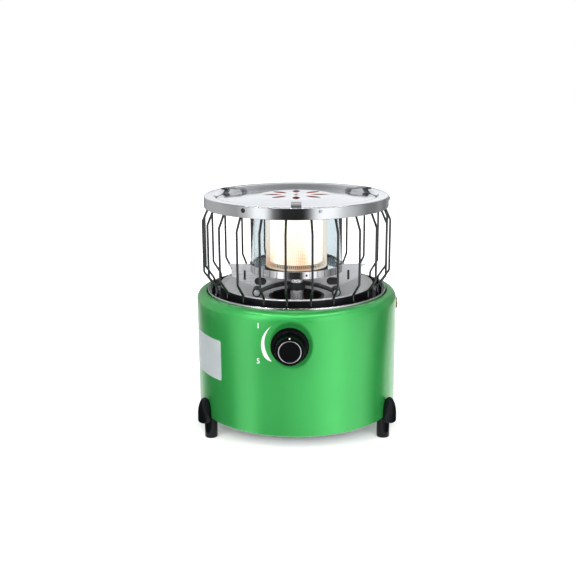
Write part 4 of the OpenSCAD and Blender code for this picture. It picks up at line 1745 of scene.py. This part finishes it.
@dataclass
class Feet:
    """The three plastic feet, each a stem under the drum and a bulb outside it."""

    stem_at: float = 105.2
    stem: float = 6.8
    bulb_at: float = 112.0
    bulb: float = 7.49
    bulb_drop: float = 4.5
    widest: float = 27.0

    def build(self) -> None:
        """Makes one foot and copies it."""
        bottom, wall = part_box("drum_base_ring")[0].z / MM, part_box("drum_shoulder")[1].y / MM
        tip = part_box("foot_rear")[1].z / MM
        stem = turned("foot", [
            (0, 0), (self.stem - 1.2, 0), *arc((self.stem - 0.9, 0.9), 0.9, -80, 0, 5),
            (self.stem, bottom - 0.02), (0, bottom - 0.02)], sides=64)
        stem.location = (self.stem_at * MM, 0, 0)
        low = bottom - self.bulb_drop
        quarter = arc((0, 0), 1, 0, 85, 17)
        bullet = turned("bulb", [
            (0, low), (self.bulb - 3, low), *arc((self.bulb - 3, low + 3), 3, -75, 0, 7),
            *((self.bulb * across, self.widest + (tip - self.widest) * up) for across, up in quarter),
            (0, tip)], sides=72)
        bullet.location = (self.bulb_at * MM, 0, 0)
        notch = rod("notch", Vector((0, 0, bottom)), Vector((0, 0, bottom + 60)), wall + 0.02, sides=480)
        bullet = combine(settled(bullet), notch, "DIFFERENCE")
        foot = combine(bullet, settled(stem), "UNION")
        for place, azimuth in (("front_left", -60.5), ("front_right", 60.5), ("rear", 180)):
            twin = copied(foot, azimuth - 90)
            twin.name = f"stub_foot_{place}"
            fit(twin, FOOT_BLACK, stands_for=[f"foot_{place}"], crease=38)
        bpy.data.objects.remove(foot)


@dataclass
class SidePieces:
    """The gas inlet's end and the bare plate on the drum's left."""

    bore: float = 4.5
    root: float = 4.9
    pitch: float = 1.2
    turns: int = 9
    plate_at: float = -61.5
    plate_arc: float = 31.0
    plate_proud: float = 0.29
    plate_sheet: float = 0.26

    def inlet(self) -> None:
        """Makes the inlet with its threaded mouth."""
        low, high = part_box("inlet_union")
        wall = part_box("drum_shoulder")[1].y / MM
        front, rear = wall + 2.8, 88.0
        crests = [front - self.pitch * (1 + i) for i in range(self.turns)]
        teeth = [point for crest in crests
                 for point in ((self.bore, crest), (self.root, crest - self.pitch / 2))]
        union = turned("inlet_end", [
            (1.8, rear), (5.9, rear), (5.9, wall + 0.4), (6.3, wall + 0.4), (6.6, wall + 0.7),
            (6.6, front - 0.5), (6.1, front), (5.1, front), *teeth, (self.bore, front - 12),
            (1.8, front - 12)], sides=72)
        aimed(union, polar(95, 1, 0), Vector((0, 0, (low.z + high.z) / 2)))
        fit(union, INLET_BRASS, stands_for=["inlet_union"])

    def plate(self) -> None:
        """Makes the bare plate, with rounded corners and an embossed border."""
        low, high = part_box("rating_plate")
        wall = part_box("drum_shoulder")[1].y / MM
        deselect()
        bpy.ops.mesh.primitive_plane_add(size=1)
        plate = bpy.context.object
        plate.name = "bare_plate"
        width = math.radians(self.plate_arc) * wall
        height = (high.z - low.z) / MM
        plate.scale = (width * MM, height * MM, 1)
        settled(plate)
        with editing(plate):
            bpy.ops.mesh.select_all(action="SELECT")
            bpy.ops.mesh.bevel(offset=1.8 * MM, segments=4, affect="VERTICES")
            bpy.ops.mesh.select_all(action="SELECT")
            bpy.ops.mesh.inset(thickness=1.0 * MM, depth=0)
            bpy.ops.mesh.inset(thickness=0.3 * MM, depth=-0.08 * MM)
            bpy.ops.mesh.select_all(action="SELECT")
            bpy.ops.mesh.quads_convert_to_tris()
            bpy.ops.mesh.subdivide(number_cuts=9)
        middle = (low.z + high.z) / 2 / MM

        def wrapped(point: Vector) -> Vector:
            """Wraps the flat plate round the drum."""
            azimuth = self.plate_at + math.degrees(point.x / MM / wall)
            return polar(azimuth, wall + self.plate_proud + point.z / MM, middle + point.y / MM) * MM

        reshape(plate, wrapped)
        finish_modifier(plate, "SOLIDIFY", thickness=self.plate_sheet * MM, offset=-1)
        fit(plate, PLATE_FOIL, stands_for=["rating_plate"])

    def build(self) -> None:
        """Makes both."""
        self.inlet()
        self.plate()


@dataclass
class Inside:
    """The solids inside the drum, which are shown as they are, and the spring behind the knob."""

    wire: float = 0.39
    turns: float = 2.5
    travel: float = 3.0

    def spring(self) -> None:
        """Makes the coil behind the knob; it stays at its full length here, though the real one shortens as
        the knob goes in.
        """
        low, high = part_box("spindle_spring")
        middle = (low + high) / 2
        wire = self.wire * MM
        deselect()
        bpy.ops.mesh.primitive_circle_add(vertices=16, radius=wire,
                                          location=((high.x - low.x) / 2 - wire, 0, 0))
        coil = settled(bpy.context.object)
        coil.name = "return_spring"
        finish_modifier(coil, "SCREW", axis="Y", angle=math.tau * self.turns, steps=110, render_steps=110,
                        screw_offset=high.y - low.y - 2 * wire, use_merge_vertices=False)
        coil.location = (middle.x, low.y + wire, middle.z)
        settled(coil)
        with editing(coil):
            bpy.ops.mesh.select_all(action="SELECT")
            bpy.ops.mesh.fill_holes(sides=0)
            bpy.ops.mesh.normals_make_consistent(inside=False)
        fit(coil, ZINC, stands_for=["spindle_spring"])
        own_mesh(coil)

    def build(self) -> None:
        """Makes the spring and gives each solid its finish."""
        self.spring()
        dress(ZINC, "base_plate", "foot_screws", "support_post_front", "support_post_rear",
              "support_post_left", "post_screws", "bowl_screws", "tap_cover", "tap_screws", "spindle",
              "safety_magnet", "magnet_poppet")
        dress(BRASS, "injector", "injector_holder", "inlet_locknut", "tap_body", "tap_plug")
        dress(COPPER, "gas_pipe_inlet", "gas_pipe_burner", "thermocouple", "thermocouple_lead")
        dress(WHITE, "piezo_igniter")
        dress(SLEEVE, "ignition_lead")


# ---------------------------------------------------------------- studio


# Azimuth in degrees and brightness of what the drum and the lid mirror.
DRUM_BANDS = (
    (-180, 0.6), (-140, 0.66), (-116, 0.12), (-100, 0.01), (-70, 0.06), (-58, 0.6), (-46, 0.78), (-34, 0.3),
    (-16, 0.25), (12, 0.5), (26, 0.8), (38, 1.0), (50, 0.8), (70, 0.65), (80, 0.3), (90, 0.02), (104, 0.05),
    (112, 0.5), (136, 0.85), (180, 0.6))
LID_BANDS = (
    (-180, 0.15), (-141, 0.2), (-116, 0.36), (-89, 0.38), (-62, 0.3), (-50, 0.5), (-40, 0.95), (-30, 0.95),
    (-22, 0.15), (-13, 0.02), (7, 0.01), (12, 0.12), (19, 0.8), (26, 0.97), (38, 0.9), (47, 0.6), (60, 0.42),
    (76, 0.18), (90, 0.16), (102, 0.24), (116, 0.15), (140, 0.3), (180, 0.15))


@dataclass(frozen=True)
class Lamp:
    """A soft square lamp that is aimed at the heater."""

    name: str
    place: tuple[float, float, float]
    size: float
    power: float
    mirrored: bool = False

    def hang(self) -> None:
        """Hangs the lamp."""
        deselect()
        bpy.ops.object.light_add(type="AREA", location=self.place)
        lamp = bpy.context.object
        lamp.name = f"lamp_{self.name}"
        lamp.data.size = self.size
        lamp.data.energy = self.power
        lamp.visible_glossy = self.mirrored
        aim = Vector((0, 0, 0.12)) - Vector(self.place)
        lamp.rotation_euler = aim.to_track_quat("-Z", "Y").to_euler()


@dataclass
class Studio:
    """The floor, the lamps, what polished metal sees, and the camera; its sizes are in metres."""

    eye: Vector = field(default_factory=lambda: Vector((0.0, -0.9443, 0.3831)))
    yaw: float = -0.0098
    pitch: float = math.radians(13.868)
    roll: float = math.radians(-0.345)
    lens: float = 56.0
    dome_radius: float = 0.66
    screen_radius: float = 0.24
    screen_foot: float = 0.118
    screen_glow: float = 1.4
    ring_glow: float = 26.0
    lamps: Sequence[Lamp] = (
        Lamp("key", (-0.8, -1.1, 1.0), 0.9, 11.0, mirrored=True),
        Lamp("fill", (0.8, -1.1, 0.8), 0.9, 9.0, mirrored=True),
        Lamp("front", (0.05, -1.4, 0.42), 0.5, 7.0),
        Lamp("top", (0.0, 0.1, 1.5), 1.2, 10.0),
        Lamp("rear", (0.3, 1.3, 0.9), 0.9, 5.0),
    )

    def camera(self) -> None:
        """Places the camera."""
        deselect()
        bpy.ops.object.camera_add(location=self.eye)
        camera = bpy.context.object
        camera.data.lens = self.lens
        flat = math.cos(self.pitch)
        ahead = Vector((math.sin(self.yaw) * flat, math.cos(self.yaw) * flat, -math.sin(self.pitch)))
        right = Vector((math.cos(self.yaw), -math.sin(self.yaw), 0))
        up = right.cross(ahead)
        tilt = math.cos(self.roll) * right + math.sin(self.roll) * up
        head = -math.sin(self.roll) * right + math.cos(self.roll) * up
        camera.rotation_euler = Matrix((tilt, head, -ahead)).transposed().to_euler()
        bpy.context.scene.camera = camera

    def floor(self) -> None:
        """Lays the pale floor, white to the camera outside two painted shadows."""
        deselect()
        bpy.ops.mesh.primitive_plane_add(size=12)
        floor = bpy.context.object
        floor.name = "studio_floor"
        recipe = Recipe("floor_pale")
        recipe.set(base_color=(0.86, 0.86, 0.86, 1), roughness=0.7, emission_color=(1, 1, 1, 1))
        # Two painted shadows, where the glow added for the camera is held low so that the lamps' own shadow
        # shows: a short one under the drum, narrower from side to side, and a wide faint one.
        x, y, _ = recipe.axes()
        under = recipe.distance(recipe.maths("MULTIPLY", x, 0.63), y)
        glow = recipe.maths("ADD", recipe.spread(under, 0.05, 0.55, 0.058, 0.085),
                            recipe.spread(recipe.distance(x, y), 0.0, 0.5, 0.1, 0.3))
        recipe.set(emission_strength=recipe.maths("MULTIPLY", recipe.seen(), glow))
        floor.data.materials.append(recipe.material)

    def light_up(self, screen: bpy.types.Object, recipe: Recipe, colour: object, strength: object) -> None:
        """Makes a screen shine for polished surfaces alone, and puts it on the stage.

        Args:
            screen: The screen.
            recipe: Its material so far.
            colour: The light's colour.
            strength: The light's strength.
        """
        recipe.set(base_color=(0, 0, 0, 1), roughness=1.0, specular_ior_level=0.0, emission_color=colour,
                   emission_strength=strength)
        screen.data.materials.append(recipe.material)
        for name in ("visible_camera", "visible_diffuse", "visible_transmission", "visible_shadow",
                     "visible_volume_scatter"):
            setattr(screen, name, False)

    def backdrop(self) -> None:
        """Stands the wide dome that upturned metal mirrors.

        It is pale at the rear, and a thin bright ring runs high up round its front.
        """
        deselect()
        bpy.ops.mesh.primitive_uv_sphere_add(segments=64, ring_count=32, radius=self.dome_radius)
        dome = settled(bpy.context.object)
        dome.name = "studio_dome"
        with editing(dome):
            bpy.ops.mesh.select_all(action="SELECT")
            bpy.ops.mesh.bisect(plane_co=(0, 0, 0.002), plane_no=(0, 0, 1), clear_inner=True)
        # The ring is 8 mm high with soft edges, and the drum's shoulder mirrors it as a line.
        recipe = Recipe("dome")
        _, y, height = recipe.axes()
        rear = recipe.maths("MULTIPLY", recipe.spread(y, 0.36, 1.05, 0.0, 0.5),
                            recipe.spread(recipe.noise(2.2, 1), 0.86, 1.08))
        ring = recipe.maths("MULTIPLY", recipe.spread(height, 0.0, self.ring_glow, 0.5785, 0.58),
                            recipe.spread(height, 1.0, 0.0, 0.585, 0.5865))
        front = recipe.maths("MULTIPLY", ring, recipe.spread(y, 1.0, 0.0, -0.1, 0.0))
        self.light_up(dome, recipe, (0.97, 0.98, 1.0, 1), recipe.maths("ADD", front, rear))

    def surround(self) -> None:
        """Stands a round screen close by, with light and dark bands that lid and drum mirror.

        It is flared at its foot, where the drum would otherwise mirror the floor alone.
        """
        deselect()
        bpy.ops.mesh.primitive_cylinder_add(vertices=96, radius=self.screen_radius, depth=0.172,
                                            end_fill_type="NOTHING", location=(0, 0, 0.188))
        wall = settled(bpy.context.object)
        deselect()
        bpy.ops.mesh.primitive_cone_add(vertices=96, radius1=self.screen_foot, radius2=self.screen_radius,
                                        depth=0.1, end_fill_type="NOTHING", location=(0, 0, 0.052))
        screen = joined([wall, settled(bpy.context.object)])
        screen.name = "studio_surround"
        # Towards the foot each band stands at a smaller azimuth, so that it runs straight down the drum.
        recipe = Recipe("surround")
        x, y, z = recipe.axes()
        widen = recipe.spread(recipe.distance(x, y), 1.0, 1.63, 0.1075, self.screen_radius)
        azimuth = recipe.maths("MULTIPLY", recipe.maths("ARCTAN2", x, recipe.maths("MULTIPLY", y, -1.0)),
                               recipe.maths("DIVIDE", 1.63, widen))
        share = recipe.spread(azimuth, 0.0, 1.0, -math.pi, math.pi)
        low, high = (recipe.ramp(share, [((at + 180) / 360, (tone, tone, tone)) for at, tone in bands])
                     for bands in (DRUM_BANDS, LID_BANDS))
        mix = recipe.node("ShaderNodeMixRGB")
        for target, source in zip(mix.inputs, (recipe.spread(z, 0.0, 1.0, 0.09, 0.12), low, high)):
            recipe.feed(target, source)
        self.light_up(screen, recipe, mix.outputs[0], self.screen_glow)

    def sky(self) -> None:
        """Makes the world white to the camera and to reflections, and soft grey to the rest."""
        world = bpy.data.worlds.new("studio_world")
        bpy.context.scene.world = world
        world.use_nodes = True
        nodes = Nodes(world.node_tree)
        back = world.node_tree.nodes["Background"]
        back.inputs["Color"].default_value = (1, 1, 1, 1)
        nodes.feed(back.inputs["Strength"], nodes.spread(nodes.seen(), 0.2, 1.0, 0.0, 1.0))

    def build(self) -> None:
        """Sets the studio up."""
        self.camera()
        self.floor()
        self.backdrop()
        self.surround()
        for lamp in self.lamps:
            lamp.hang()
        self.sky()
        bpy.context.scene.view_settings.view_transform = "Standard"


def main() -> None:
    """Builds the heater and its studio, piece by piece."""
    logging.basicConfig(level=logging.INFO, format="%(name)s %(message)s")
    for part in (Studio(), Drum(), Lid(), Guard(), Burner(), Knob(), Feet(), SidePieces(), Inside()):
        log.info("building %s", type(part).__name__)
        part.build()


if __name__ == "__main__":
    main()
